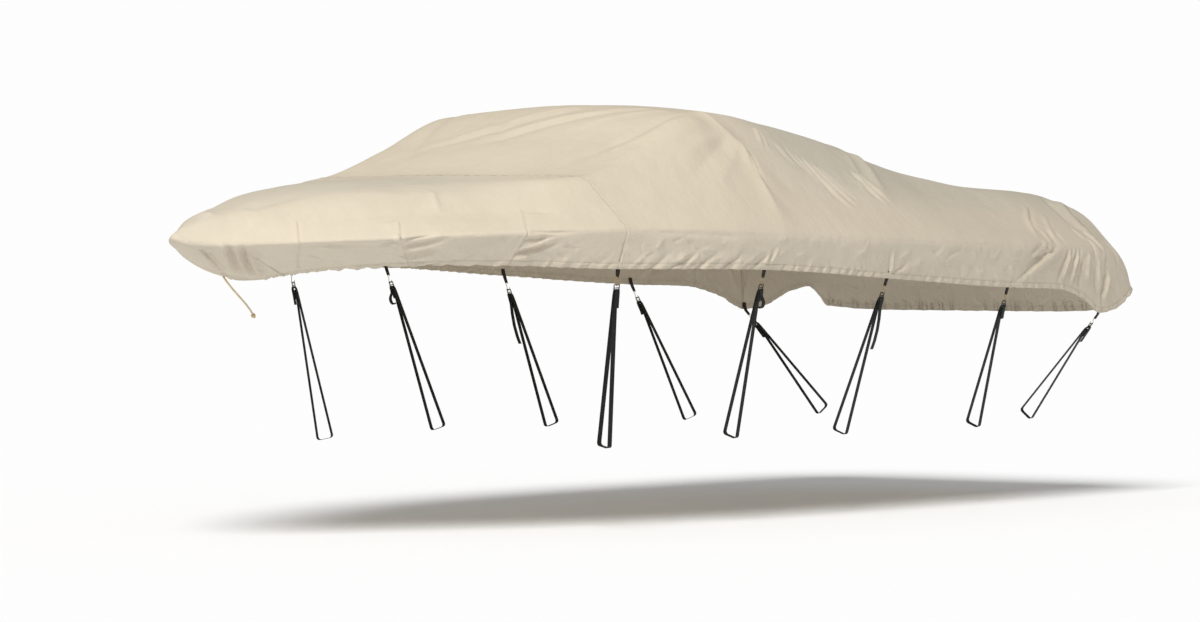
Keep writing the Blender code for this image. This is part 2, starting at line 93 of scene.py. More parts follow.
# (gunwale x, y, z, hem x, y, z) from the stem along one side to the middle of the transom
OUTLINE = (
    (0.060, 0.000, 1.335, 0.560, 0.000, 1.148),
    (0.070, 0.022, 1.328, 0.565, 0.030, 1.149),
    (0.120, 0.055, 1.316, 0.590, 0.070, 1.152),
    (0.250, 0.145, 1.306, 0.640, 0.135, 1.165),
    (0.450, 0.288, 1.310, 0.740, 0.225, 1.183),
    (0.750, 0.490, 1.325, 0.930, 0.410, 1.202),
    (1.100, 0.690, 1.342, 1.200, 0.610, 1.212),
    (1.500, 0.855, 1.358, 1.540, 0.775, 1.208),
    (2.050, 1.010, 1.371, 2.060, 0.945, 1.192),
    (2.500, 1.092, 1.365, 2.500, 1.045, 1.190),
    (3.000, 1.145, 1.350, 3.000, 1.105, 1.183),
    (4.000, 1.183, 1.325, 4.000, 1.135, 1.136),
    (5.100, 1.178, 1.300, 5.100, 1.135, 1.083),
    (5.600, 1.158, 1.290, 5.590, 1.125, 1.070),
    (5.900, 1.135, 1.284, 5.870, 1.105, 1.018),
    (6.080, 1.115, 1.270, 6.070, 1.085, 0.945),
    (6.270, 1.085, 1.235, 6.255, 1.070, 0.965),
    (6.430, 1.035, 1.165, 6.445, 1.045, 1.035),
    (6.510, 0.965, 1.110, 6.550, 0.985, 1.062),
    (6.530, 0.860, 1.100, 6.570, 0.880, 0.960),
    (6.530, 0.450, 1.100, 6.575, 0.450, 0.940),
    (6.530, 0.000, 1.100, 6.575, 0.000, 0.940),
)

# (x, shoulder's place as a share of the half breadth, height there, height on the middle line,
# softness of the shoulder)
SECTIONS = (
    (0.06, 0.45, 1.336, 1.337, 0.01),
    (0.12, 0.45, 1.348, 1.362, 0.01),
    (0.25, 0.50, 1.405, 1.418, 0.02),
    (0.45, 0.50, 1.447, 1.465, 0.03),
    (0.75, 0.50, 1.503, 1.527, 0.03),
    (1.10, 0.50, 1.545, 1.566, 0.03),
    (1.50, 0.57, 1.573, 1.594, 0.03),
    (2.05, 0.76, 1.608, 1.616, 0.03),
    (2.50, 0.69, 1.735, 1.772, 0.05),
    (2.98, 0.63, 1.900, 1.945, 0.06),
    (3.30, 0.58, 1.900, 1.957, 0.06),
    (3.80, 0.54, 1.850, 1.922, 0.08),
    (4.50, 0.52, 1.745, 1.815, 0.08),
    (4.75, 0.56, 1.670, 1.730, 0.08),
    (5.00, 0.60, 1.625, 1.660, 0.08),
    (5.40, 0.66, 1.577, 1.600, 0.06),
    (5.95, 0.70, 1.547, 1.561, 0.05),
    (6.24, 0.83, 1.422, 1.433, 0.03),
    (6.33, 0.87, 1.345, 1.353, 0.03),
    (6.44, 0.90, 1.235, 1.241, 0.02),
    (6.53, 0.92, 1.101, 1.102, 0.01),
)

# How much deeper than their tables the creases and the gathers of the hem are drawn
DECK_DEPTH, SIDE_DEPTH, GATHER_DEPTH = 1.35, 1.55, 1.50
# The puckers of the seams: their depth, how far from the seam they reach, and their spacing
PUCKER_DEPTH, PUCKER_REACH, PUCKER_SPACING = 0.0013, 0.030, 0.0105
# The slow unevenness of the top, wide and fine, and of the skirt
SLACK_WIDE, SLACK_FINE, SLACK_SKIRT = 0.0022, 0.0007, 0.0012

# Creases over the top, seen from above: a soft ridge (+) or trough (-) from its pinched end to its
# open end, (x, y, x, y, bow of the line, height, half width)
DECK_CREASES = (
    # the corners of the windscreen's frame, where the cloth turns from the slope to the side
    (3.06, -0.60, 3.22, -0.90, 0.010, 0.006, 0.130),
    (3.08, -0.64, 3.21, -0.87, 0.010, 0.006, 0.060),
    (3.09, -0.66, 3.21, -0.85, 0.010, 0.005, 0.024),
    (3.21, -0.76, 3.14, -1.16, 0.012, 0.010, 0.120),
    (3.20, -0.79, 3.14, -1.12, 0.012, 0.006, 0.052),
    (3.20, -0.80, 3.14, -1.10, 0.012, 0.005, 0.022),
    (3.26, -0.78, 3.20, -1.06, 0.012, -0.005, 0.026),
    (3.05, 0.60, 3.19, 0.83, -0.010, 0.008, 0.080),
    (3.19, 0.81, 3.17, 1.12, -0.010, 0.011, 0.045),
    (3.00, -0.60, 3.00, 0.44, 0.020, 0.004, 0.080),
    # pulls that run from those corners down the slope
    (2.92, -0.18, 2.30, 0.58, 0.020, -0.0054, 0.026),
    (2.96, -0.12, 2.34, 0.62, 0.020, 0.0041, 0.024),
    (2.88, -0.32, 2.44, 0.36, 0.015, 0.0034, 0.020),
    (2.90, -0.38, 2.40, 0.26, 0.018, -0.0027, 0.018),
    (2.99, -0.52, 2.42, 0.22, 0.020, -0.0041, 0.022),
    (3.02, -0.50, 2.52, 0.20, 0.020, 0.0034, 0.020),
    (3.00, -0.62, 2.60, -0.18, 0.010, 0.0034, 0.020),
    (3.02, -0.70, 2.14, -0.46, -0.030, -0.0054, 0.026),
    (3.04, -0.74, 2.20, -0.56, -0.030, 0.0041, 0.022),
    (3.03, -0.76, 2.34, -0.72, -0.020, 0.0034, 0.022),
    (3.12, -0.80, 2.58, -0.92, -0.020, -0.0075, 0.026),
    (3.12, -0.78, 2.64, -0.84, -0.010, 0.0048, 0.020),
    (3.14, -0.84, 2.72, -1.00, -0.010, 0.0041, 0.022),
    (2.94, 0.40, 2.36, -0.06, -0.020, -0.0054, 0.040),
    (3.00, 0.66, 2.24, 0.44, 0.030, -0.0075, 0.044),
    (3.03, 0.76, 2.36, 0.72, 0.020, 0.0054, 0.040),
    (3.10, 0.80, 2.60, 0.94, 0.020, -0.0082, 0.042),
    # the back of the seats and the pulls that run from it
    (4.52, -0.56, 4.50, 0.56, -0.020, 0.009, 0.050),
    (4.50, -0.60, 4.20, -1.00, -0.020, 0.014, 0.045),
    (4.50, 0.60, 4.24, 1.00, 0.020, 0.012, 0.045),
    (4.40, -0.62, 4.02, -1.00, -0.015, 0.006, 0.022),
    (4.36, 0.62, 4.04, 0.98, 0.015, 0.006, 0.022),
    # long slack hollows between the frame and the seats, and over the after deck
    (3.52, -0.32, 4.30, -0.38, 0.010, -0.006, 0.120),
    (3.45, 0.34, 4.18, 0.32, -0.010, -0.006, 0.120),
    (3.30, -0.92, 4.10, -1.02, 0.020, -0.008, 0.070),
    (3.30, 0.93, 4.15, 1.01, -0.020, -0.008, 0.070),
    (4.80, 0.10, 5.70, 0.16, 0.020, -0.007, 0.120),
    (4.70, -0.78, 5.55, -0.86, -0.020, -0.008, 0.080),
    (4.75, 0.80, 5.60, 0.84, 0.020, -0.007, 0.080),
    (4.62, -0.60, 5.30, -0.70, 0.020, 0.005, 0.040),
    # the foredeck's shoulders and the band along its edge
    (0.62, -0.29, 2.00, -0.88, 0.030, -0.007, 0.050),
    (0.62, 0.30, 2.00, 0.88, -0.030, -0.007, 0.050),
    (0.95, -0.30, 1.95, -0.74, 0.030, 0.006, 0.050),
    (0.95, 0.31, 1.95, 0.73, -0.030, 0.006, 0.050),
    (0.46, -0.10, 0.80, -0.16, 0.010, -0.010, 0.040),
    (0.40, -0.17, 0.56, -0.22, 0.000, 0.006, 0.026),
    (0.48, 0.12, 0.78, 0.19, -0.010, -0.008, 0.040),
    (0.30, -0.05, 0.30, 0.05, 0.000, 0.010, 0.036),
    (1.31, -0.46, 1.22, -0.58, 0.000, 0.006, 0.018),
    (1.36, 0.44, 1.27, 0.57, 0.000, 0.005, 0.018),
    # the drop to the transom
    (5.98, -0.80, 6.00, -1.08, 0.000, -0.014, 0.040),
    (6.05, -0.84, 6.30, -0.94, 0.000, 0.008, 0.040),
    (5.96, 0.80, 6.02, 1.08, 0.000, -0.012, 0.040),
    (6.05, 0.82, 6.28, 0.92, 0.000, 0.008, 0.040),
    (6.20, -0.30, 6.42, 0.10, 0.030, -0.012, 0.050),
    (6.18, 0.50, 6.44, 0.30, -0.030, -0.011, 0.050),
    (6.12, -0.86, 6.47, -0.54, 0.020, -0.009, 0.028),
    (6.14, -0.78, 6.48, -0.42, 0.020, 0.007, 0.026),
    (6.12, -0.66, 6.46, -0.36, 0.015, -0.006, 0.022),
    (6.12, 0.84, 6.47, 0.50, -0.020, -0.009, 0.028),
    (6.13, 0.74, 6.48, 0.40, -0.020, 0.007, 0.026),
    (6.12, 0.56, 6.45, 0.62, -0.010, -0.005, 0.022),
)

# Creases of the sides: (side, distance from the stem along the gunwale, height above the gunwale,
# the same at the open end, bow, height, half width)
SIDE_CREASES = (
    # small wrinkles abaft the windscreen's corner
    (-1, 3.753, 0.700, 3.661, 0.560, 0.000, 0.008, 0.014),
    (-1, 3.790, 0.690, 3.710, 0.540, 0.000, 0.004, 0.012),
    (-1, 3.445, 0.490, 3.385, 0.330, 0.000, 0.008, 0.014),
    (-1, 3.490, 0.470, 3.420, 0.330, 0.000, -0.006, 0.014),
    (-1, 3.405, 0.440, 3.360, 0.300, 0.000, -0.004, 0.012),
    # the long pulls below the seats
    (-1, 3.990, 0.540, 4.060, 0.205, 0.030, -0.005, 0.014),
    (-1, 4.014, 0.535, 4.100, 0.205, 0.030, 0.005, 0.012),
    (-1, 4.040, 0.520, 4.140, 0.215, 0.024, -0.004, 0.011),
    (-1, 4.066, 0.505, 4.170, 0.225, 0.020, 0.004, 0.011),
    (-1, 4.095, 0.490, 4.205, 0.235, 0.020, -0.004, 0.011),
    (-1, 3.960, 0.560, 4.010, 0.300, 0.020, 0.004, 0.011),
    (-1, 3.905, 0.600, 3.930, 0.420, 0.010, -0.004, 0.011),
    (-1, 3.860, 0.600, 3.880, 0.450, 0.010, 0.003, 0.011),
    (-1, 3.820, 0.610, 3.836, 0.480, 0.006, -0.003, 0.011),
    (-1, 4.420, 0.500, 4.440, 0.240, 0.010, 0.005, 0.012),
    (-1, 4.392, 0.480, 4.410, 0.260, 0.010, -0.004, 0.011),
    (-1, 4.450, 0.500, 4.472, 0.250, 0.010, -0.004, 0.011),
    (-1, 4.476, 0.490, 4.500, 0.270, 0.010, 0.003, 0.011),
    (1, 3.960, 0.520, 4.050, 0.220, -0.020, -0.005, 0.014),
    (1, 4.000, 0.510, 4.100, 0.220, -0.020, 0.005, 0.012),
    (1, 4.070, 0.480, 4.175, 0.235, -0.014, -0.004, 0.011),
    (1, 4.130, 0.455, 4.235, 0.250, -0.010, 0.004, 0.011),
    (1, 3.700, 0.660, 3.640, 0.520, 0.000, 0.004, 0.012),
    (1, 3.450, 0.470, 3.400, 0.320, 0.000, 0.005, 0.012),
    (1, 4.430, 0.480, 4.450, 0.250, 0.010, 0.005, 0.012),
    # the gathered corner before the transom
    (-1, 5.876, 0.300, 5.600, 0.030, 0.030, 0.009, 0.016),
    (-1, 5.910, 0.300, 5.650, 0.040, 0.030, -0.006, 0.016),
    (-1, 5.970, 0.240, 5.780, 0.020, 0.020, 0.006, 0.014),
    (-1, 5.730, 0.110, 5.680, 0.010, 0.000, -0.006, 0.011),
    (-1, 5.800, 0.110, 5.750, 0.012, 0.000, -0.006, 0.011),
    (-1, 5.880, 0.100, 5.840, 0.012, 0.000, -0.005, 0.011),
    (-1, 5.790, 0.000, 5.330, -0.215, 0.014, -0.010, 0.013),
    (-1, 5.822, -0.012, 5.372, -0.215, 0.014, 0.008, 0.014),
    (-1, 5.813, 0.038, 5.400, -0.140, 0.004, -0.005, 0.011),
    (-1, 5.688, -0.030, 5.470, -0.100, 0.004, -0.010, 0.013),
    (-1, 5.720, -0.015, 5.500, -0.075, 0.004, 0.007, 0.012),
    (-1, 5.640, 0.010, 5.470, -0.060, 0.004, -0.009, 0.012),
    (-1, 5.702, 0.000, 5.550, -0.060, 0.004, -0.008, 0.012),
    (-1, 5.880, -0.020, 5.800, -0.190, 0.006, -0.010, 0.013),
    (-1, 5.925, -0.020, 5.875, -0.195, 0.004, -0.010, 0.012),
    (-1, 5.968, -0.020, 5.925, -0.200, 0.004, -0.010, 0.012),
    (-1, 6.010, -0.020, 5.985, -0.205, 0.002, -0.009, 0.012),
    (-1, 6.052, -0.070, 6.050, -0.215, 0.002, -0.011, 0.013),
    (-1, 5.905, -0.040, 5.850, -0.190, 0.004, 0.007, 0.012),
    (-1, 5.990, -0.040, 5.955, -0.200, 0.004, 0.006, 0.011),
    (-1, 6.100, -0.030, 6.130, -0.200, 0.002, 0.008, 0.018),
    (-1, 6.200, -0.100, 6.260, -0.250, 0.004, -0.010, 0.014),
    (-1, 6.225, -0.060, 6.275, -0.200, 0.004, 0.006, 0.013),
    (-1, 6.330, -0.110, 6.295, -0.270, -0.004, -0.012, 0.015),
    (-1, 6.370, -0.120, 6.330, -0.260, -0.004, 0.008, 0.016),
    (-1, 6.165, 0.060, 6.200, -0.080, 0.004, -0.008, 0.015),
    (-1, 6.250, 0.140, 6.280, -0.030, 0.004, -0.010, 0.018),
    (-1, 6.420, 0.090, 6.480, -0.060, 0.004, -0.007, 0.020),
    (-1, 6.120, 0.150, 6.130, 0.020, 0.004, -0.006, 0.016),
    (1, 5.860, 0.280, 5.640, 0.040, 0.020, 0.008, 0.016),
    (1, 5.780, 0.010, 5.380, -0.200, 0.014, -0.015, 0.019),
    (1, 5.830, -0.010, 5.440, -0.200, 0.012, 0.012, 0.020),
    (1, 5.900, -0.020, 5.840, -0.190, 0.004, -0.010, 0.013),
    (1, 5.955, -0.020, 5.915, -0.195, 0.004, -0.009, 0.012),
    (1, 6.010, -0.020, 5.985, -0.205, 0.002, -0.009, 0.013),
    (1, 6.190, -0.100, 6.255, -0.250, 0.004, -0.010, 0.015),
    (1, 6.340, -0.110, 6.300, -0.260, -0.004, -0.011, 0.015),
    (1, 6.250, 0.120, 6.285, -0.020, 0.004, -0.009, 0.018),
    # pulls from the two darts in the front panel's skirt
    (-1, 1.690, 0.010, 1.990, -0.010, 0.004, -0.008, 0.012),
    (-1, 1.672, -0.040, 1.860, -0.026, 0.003, -0.007, 0.010),
    (-1, 1.640, -0.110, 1.890, -0.050, 0.004, -0.010, 0.011),
    (-1, 1.650, -0.085, 1.850, -0.030, 0.004, 0.006, 0.012),
    (-1, 1.635, -0.140, 1.800, -0.100, 0.002, 0.005, 0.012),
    (-1, 1.800, 0.172, 1.930, 0.150, 0.000, -0.006, 0.010),
    (-1, 1.060, -0.020, 1.240, 0.020, 0.002, -0.008, 0.011),
    (-1, 1.055, -0.060, 1.300, -0.005, 0.004, -0.008, 0.012),
    (-1, 1.060, -0.085, 1.280, -0.040, 0.004, 0.006, 0.012),
    (-1, 1.060, -0.115, 1.260, -0.070, 0.003, -0.006, 0.012),
    (-1, 1.050, -0.150, 1.220, -0.110, 0.002, 0.005, 0.012),
    (-1, 1.045, -0.020, 0.930, -0.060, 0.004, -0.007, 0.012),
    (-1, 1.052, 0.020, 1.000, -0.110, 0.010, 0.007, 0.012),
    (-1, 1.130, 0.120, 1.035, 0.080, 0.004, 0.005, 0.012),
    (1, 1.690, 0.000, 1.960, -0.010, 0.004, -0.008, 0.013),
    (1, 1.650, -0.090, 1.870, -0.040, 0.004, -0.009, 0.012),
    (1, 1.060, -0.040, 1.270, -0.005, 0.004, -0.008, 0.012),
    (1, 1.050, -0.110, 1.240, -0.070, 0.003, 0.006, 0.012),
    # the stem: a dart either side and the soft folds that hang behind it
    (-1, 0.104, -0.060, -0.030, -0.480, 0.000, -0.0090, 0.009),
    (-1, 0.124, -0.062, -0.008, -0.480, 0.000, 0.0045, 0.012),
    (-1, 0.080, -0.066, 0.130, -0.096, 0.000, -0.0040, 0.008),
    (-1, 0.232, -0.010, 0.010, -0.440, 0.000, 0.0085, 0.020),
    (-1, 0.262, -0.010, 0.030, -0.470, 0.000, -0.0105, 0.016),
    (-1, 0.290, -0.020, 0.060, -0.480, 0.000, 0.0085, 0.017),
    (-1, 0.318, -0.020, 0.085, -0.480, 0.000, -0.0100, 0.013),
    (-1, 0.345, -0.030, 0.120, -0.470, 0.000, 0.0070, 0.016),
    (-1, 0.388, -0.030, 0.170, -0.440, 0.000, -0.0040, 0.014),
    (1, 0.104, -0.060, -0.030, -0.480, 0.000, -0.0060, 0.009),
    (1, 0.124, -0.062, -0.008, -0.480, 0.000, 0.0045, 0.012),
    (1, 0.240, -0.010, 0.020, -0.460, 0.000, -0.0060, 0.018),
    (1, 0.275, -0.020, 0.050, -0.470, 0.000, 0.0055, 0.018),
    (1, 0.330, -0.020, 0.100, -0.470, 0.000, -0.0060, 0.016),
    # short pulls above the loops
    (-1, 3.205, -0.150, 3.232, -0.075, 0.000, 0.0060, 0.009),
    (-1, 3.228, -0.145, 3.262, -0.070, 0.000, -0.0045, 0.008),
    (-1, 3.248, -0.140, 3.290, -0.065, 0.000, 0.0055, 0.009),
    (-1, 4.218, -0.170, 4.192, -0.045, 0.000, -0.0060, 0.009),
    (-1, 4.240, -0.165, 4.214, -0.060, 0.000, 0.0050, 0.010),
    (-1, 4.255, -0.165, 4.370, -0.095, 0.006, -0.0055, 0.010),
    (-1, 4.275, -0.170, 4.420, -0.115, 0.006, 0.0045, 0.011),
    (-1, 5.330, -0.200, 5.375, -0.150, 0.000, -0.0045, 0.009),
    (1, 3.210, -0.150, 3.240, -0.070, 0.000, 0.0055, 0.009),
    (1, 3.240, -0.145, 3.280, -0.070, 0.000, -0.0045, 0.009),
    (1, 4.218, -0.170, 4.195, -0.050, 0.000, -0.0055, 0.009),
    (1, 4.250, -0.165, 4.360, -0.100, 0.006, -0.0050, 0.010),
    # faint level creases of the gunwale band
    (-1, 0.500, -0.030, 1.020, -0.050, 0.004, -0.003, 0.012),
    (-1, 2.340, -0.014, 3.350, -0.018, 0.004, -0.003, 0.012),
    (-1, 2.600, -0.040, 3.150, -0.060, 0.006, 0.002, 0.018),
    (-1, 4.300, -0.040, 5.300, -0.035, 0.010, -0.002, 0.022),
    (-1, 4.250, -0.120, 4.900, -0.060, 0.016, 0.002, 0.028),
    (1, 2.340, -0.014, 3.350, -0.018, 0.004, -0.005, 0.012),
    (1, 4.300, -0.040, 5.300, -0.035, 0.010, -0.005, 0.022),
)

# Where the drawn-up hem gathers: (side, from, to, how many, lean forward to aft over the height,
# height, depth, half width), distances along the gunwale from the stem
GATHERS = (
    (-1, 0.10, 0.62, 12, 0.015, 0.030, 0.0035, 0.008),
    (-1, 0.62, 1.00, 7, 0.060, 0.028, 0.0050, 0.009),
    (-1, 1.00, 1.62, 8, 0.110, 0.034, 0.0055, 0.010),
    (-1, 1.66, 2.20, 10, 0.050, 0.040, 0.0045, 0.010),
    (-1, 2.28, 3.10, 10, 0.150, 0.075, 0.0065, 0.010),
    (-1, 2.34, 3.12, 15, 0.070, 0.036, 0.0040, 0.009),
    (-1, 3.28, 4.16, 24, 0.048, 0.042, 0.0048, 0.009),
    (-1, 4.26, 5.26, 22, 0.040, 0.034, 0.0042, 0.010),
    (-1, 5.42, 6.26, 20, 0.004, 0.030, 0.0040, 0.009),
    (-1, 6.36, 6.90, 12, 0.010, 0.028, 0.0035, 0.010),
    (1, 0.10, 1.00, 18, 0.040, 0.030, 0.0045, 0.010),
    (1, 1.00, 2.20, 20, 0.070, 0.038, 0.0050, 0.011),
    (1, 2.28, 3.12, 12, 0.140, 0.070, 0.0060, 0.011),
    (1, 3.26, 4.16, 22, 0.034, 0.048, 0.0055, 0.011),
    (1, 4.26, 5.26, 22, 0.038, 0.036, 0.0045, 0.011),
    (1, 5.42, 6.26, 20, 0.006, 0.032, 0.0040, 0.009),
    (1, 6.36, 6.90, 12, -0.010, 0.030, 0.0035, 0.010),
    (-1, 6.95, 7.72, 12, 0.020, 0.034, 0.0040, 0.013),
    (1, 6.95, 7.72, 12, 0.020, 0.034, 0.0040, 0.013),
)

# Short stray wrinkles of the skirt, as many on either side: (from, to, how many)
CRUMPLED = ((0.55, 2.20, 26), (2.25, 4.20, 44), (4.20, 6.10, 48))
CRUMPLE_DEPTH = 0.0052
CRUMPLE_WIDTH = 0.0095
CRUMPLE_SEEDS = {-1: 80, 1: 83}
GATHER_SEED = 40

# Darts, short seams that take in the front panel's skirt on either side: (distance along, height,
# the same at the lower end)
DARTS = (
    (1.135, 0.115, 1.050, -0.010),
    (1.050, -0.010, 1.069, -0.195),
    (1.809, 0.171, 1.700, 0.020),
    (1.700, 0.020, 1.622, -0.170),
    (0.665, 0.130, 0.590, 0.000),
    (0.590, 0.000, 0.460, -0.270),
)
DART_GROOVE = 0.0042
DART_HALF_WIDTH = 0.0050

# The panels are laid out on fine grids, of which only the creased parts keep every row and column.
# Rows: (to which place, how many), in steps of the coarsest grid
COARSE = 4
FRONT_ROWS = ((0.40, 18), (0.56, 6), (0.68, 6), (1.02, 11), (1.16, 10), (1.60, 14), (1.84, 16), (None, 14))
BODY_ROWS = ((2.20, 5), (3.60, 44), (4.50, 34), (5.15, 20), (None, 35))
STERN_ROWS = ((6.92, 22), (None, 16))
FRONT_STEPS = (96, 8, 40)      # steps of the top, of the bend over the gunwale, of the skirt
BODY_STEPS = (128, 8, 32)
STERN_STEPS = (96, 8, 24)
# How far a coarse face, and then a middling one, may lie off the cloth before it is divided
FRONT_ERRORS = (0.0006, 0.0003)
BODY_ERRORS = (0.0011, 0.00055)
STERN_ERRORS = (0.0003, 0.00015)

# (number, gunwale x, rail x, rail y, rail z)
TIES = (
    (1, 2.05, 2.15, 0.80, 0.39),
    (2, 3.00, 3.09, 0.85, 0.41),
    (3, 4.00, 4.02, 0.85, 0.40),
    (4, 5.10, 5.23, 0.85, 0.40),
    (5, 6.08, 6.12, 0.62, 0.42),
)
SIDES = (("port", -1), ("starboard", 1))

# The strap from its sewn end to the rail, and back up through the adjuster to its tail:
# (outboard, down) from the adjuster's upper edge
SEWN_END = ((0.0047, 0.0840), (0.0047, 0.0440), (0.0033, 0.0407), (0.0, 0.0393), (-0.0033, 0.0407),
            (-0.0047, 0.0440), (-0.0047, 0.0560))
THROUGH_BUCKLE = ((-0.0100, 0.0530), (-0.0085, 0.0361), (-0.0050, 0.0271), (0.0, 0.0230), (0.0035, 0.0217),
                  (0.0062, 0.0223), (0.0079, 0.0251), (0.0090, 0.0301), (0.0098, 0.0410))
TAILS = {
    1: ((0.0100, 0.066), (0.0112, 0.108)),
    2: ((0.0115, 0.054), (0.0230, 0.064), (0.0330, 0.078), (0.0335, 0.098), (0.0235, 0.112), (0.0140, 0.104)),
    3: ((0.0120, 0.076), (0.0240, 0.126), (0.0330, 0.181), (0.0360, 0.236), (0.0340, 0.278)),
    4: ((0.0100, 0.066), (0.0125, 0.094)),
    5: ((0.0102, 0.066), (0.0118, 0.116)),
}

# (along the hem, outboard, down) from the loop's fold
HOOK_WIRE_PATH = (
    (0.0092, 0.0, 0.0100), (0.0086, 0.0, 0.0040), (0.0056, 0.0, -0.0002), (0.0, 0.0, -0.0018),
    (-0.0056, 0.0, -0.0002), (-0.0086, 0.0, 0.0045), (-0.0080, 0.0, 0.0110), (-0.0040, 0.0008, 0.0170),
    (-0.0008, 0.0045, 0.0235), (0.0, 0.0080, 0.0310), (0.0, 0.0072, 0.0375), (0.0, 0.0045, 0.0412),
    (0.0, 0.0, 0.0425), (0.0, -0.0045, 0.0412), (0.0, -0.0072, 0.0375), (0.0, -0.0080, 0.0300),
)

ROPE_ROUTE = (
    (0.4285, 0.0, 1.1668), (0.4400, 0.0, 1.1565), (0.4585, 0.001, 1.1405), (0.4800, 0.002, 1.1235),
    (0.5030, 0.002, 1.1055), (0.5280, 0.001, 1.0865), (0.5530, 0.0, 1.0675), (0.5780, -0.001, 1.0480),
    (0.6020, -0.002, 1.0275), (0.6240, -0.002, 1.0060), (0.6430, -0.001, 0.9830),
)


# ---------------------------------------------------------------- camera
CAMERA_PLACE = (-21.23, -15.10, -0.566)
CAMERA_HEADING = math.radians(35.5)        # from +X towards +Y
CAMERA_TILT = math.radians(0.900)          # downwards
SENSOR = 36.0
LENS = 164.3


def add_camera():
    data = bpy.data.cameras.new("view")
    data.sensor_width = SENSOR
    data.lens = LENS
    data.clip_end = 5000.0
    camera = bpy.data.objects.new("view", data)
    camera.location = CAMERA_PLACE
    flat = math.cos(CAMERA_TILT)
    ahead = Vector((flat * math.cos(CAMERA_HEADING), flat * math.sin(CAMERA_HEADING), -math.sin(CAMERA_TILT)))
    camera.rotation_euler = ahead.to_track_quat("-Z", "Y").to_euler()
    bpy.context.scene.collection.objects.link(camera)
    bpy.context.scene.camera = camera


add_camera()


# ---------------------------------------------------------------- smooth curves through the tables
def column(table, index):
    return np.array([row[index] for row in table])


def curve(t, knots, values):
    """A smooth curve through the points that never swings past them."""
    t = np.asarray(t, float)
    step = np.diff(knots)
    rise = np.diff(values) / step
    slope = np.zeros(len(knots))
    slope[0] = rise[0]
    slope[-1] = rise[-1]
    for i in range(1, len(knots) - 1):
        if rise[i - 1] * rise[i] > 0:
            before = 2 * step[i] + step[i - 1]
            after = step[i] + 2 * step[i - 1]
            slope[i] = (before + after) / (before / rise[i - 1] + after / rise[i])
    k = np.clip(np.searchsorted(knots, t, side="right") - 1, 0, len(knots) - 2)
    s = np.clip((t - knots[k]) / step[k], 0, 1)
    start = (2 * s**3 - 3 * s**2 + 1) * values[k] + (s**3 - 2 * s**2 + s) * step[k] * slope[k]
    end = (3 * s**2 - 2 * s**3) * values[k + 1] + (s**3 - s**2) * step[k] * slope[k + 1]
    return start + end


def soft_min(a, b, softness):
    share = np.clip(0.5 + 0.5 * (b - a) / softness, 0, 1)
    return b * (1 - share) + a * share - softness * share * (1 - share)


def smooth_step(value, low, high):
    share = np.clip((value - low) / (high - low), 0, 1)
    return share * share * (3 - 2 * share)


GUNWALE_X, GUNWALE_Y, GUNWALE_Z = (column(OUTLINE, i) for i in range(3))
ALONG = np.concatenate(([0.0], np.cumsum(np.hypot(np.diff(GUNWALE_X), np.diff(GUNWALE_Y)))))
SIDE_KNOTS = int((GUNWALE_X < GUNWALE_X[-1] - 1e-6).sum()) + 1
SECTION_X = column(SECTIONS, 0)


def skirt_edges(along):
    values = [curve(along, ALONG, column(OUTLINE, i)) for i in range(6)]
    return np.stack(values[:3], -1), np.stack(values[3:], -1)


def along_at(x):
    return np.interp(x, GUNWALE_X[:SIDE_KNOTS], ALONG[:SIDE_KNOTS])


def unit(vectors):
    return vectors / np.linalg.norm(vectors, axis=-1, keepdims=True)


def distances_along(line):
    steps = np.linalg.norm(np.diff(line, axis=0), axis=1)
    return np.concatenate(([0.0], np.cumsum(steps)))


def finished(mesh, name):
    """The bmesh as a mesh of that name."""
    data = bpy.data.meshes.new(name)
    mesh.to_mesh(data)
    mesh.free()
    return data


def skirt_frame(along):
    """At places on the skirt: gunwale, hem, and the directions along, down and outwards."""
    along = np.asarray(along, float)
    gunwale, hem = skirt_edges(along)
    step = 0.01
    ahead = skirt_edges(np.minimum(along + step, ALONG[-1]))[1]
    behind = skirt_edges(np.maximum(along - step, 0.0))[1]
    run = ahead - behind
    run[along < step] = (0.0, 1.0, 0.0)
    run[along > ALONG[-1] - step] = (0.0, -1.0, 0.0)
    run = unit(run)
    down = unit(hem - gunwale)
    return gunwale, hem, run, down, unit(np.cross(run, down))


# ---------------------------------------------------------------- the cloth's surface
def top_height(x, y):
    breadth = np.maximum(curve(x, GUNWALE_X[:SIDE_KNOTS], GUNWALE_Y[:SIDE_KNOTS]), 1e-4)
    gunwale = curve(x, GUNWALE_X[:SIDE_KNOTS], GUNWALE_Z[:SIDE_KNOTS])
    share, shoulder, middle, softness = (curve(x, SECTION_X, column(SECTIONS, i)) for i in range(1, 5))
    reach = np.abs(y)
    shoulder_y = share * breadth
    crown = middle - (middle - shoulder) * (reach / shoulder_y) ** 2
    side = shoulder + (gunwale - shoulder) * (reach - shoulder_y) / (breadth - shoulder_y)
    return soft_min(crown, side, softness)


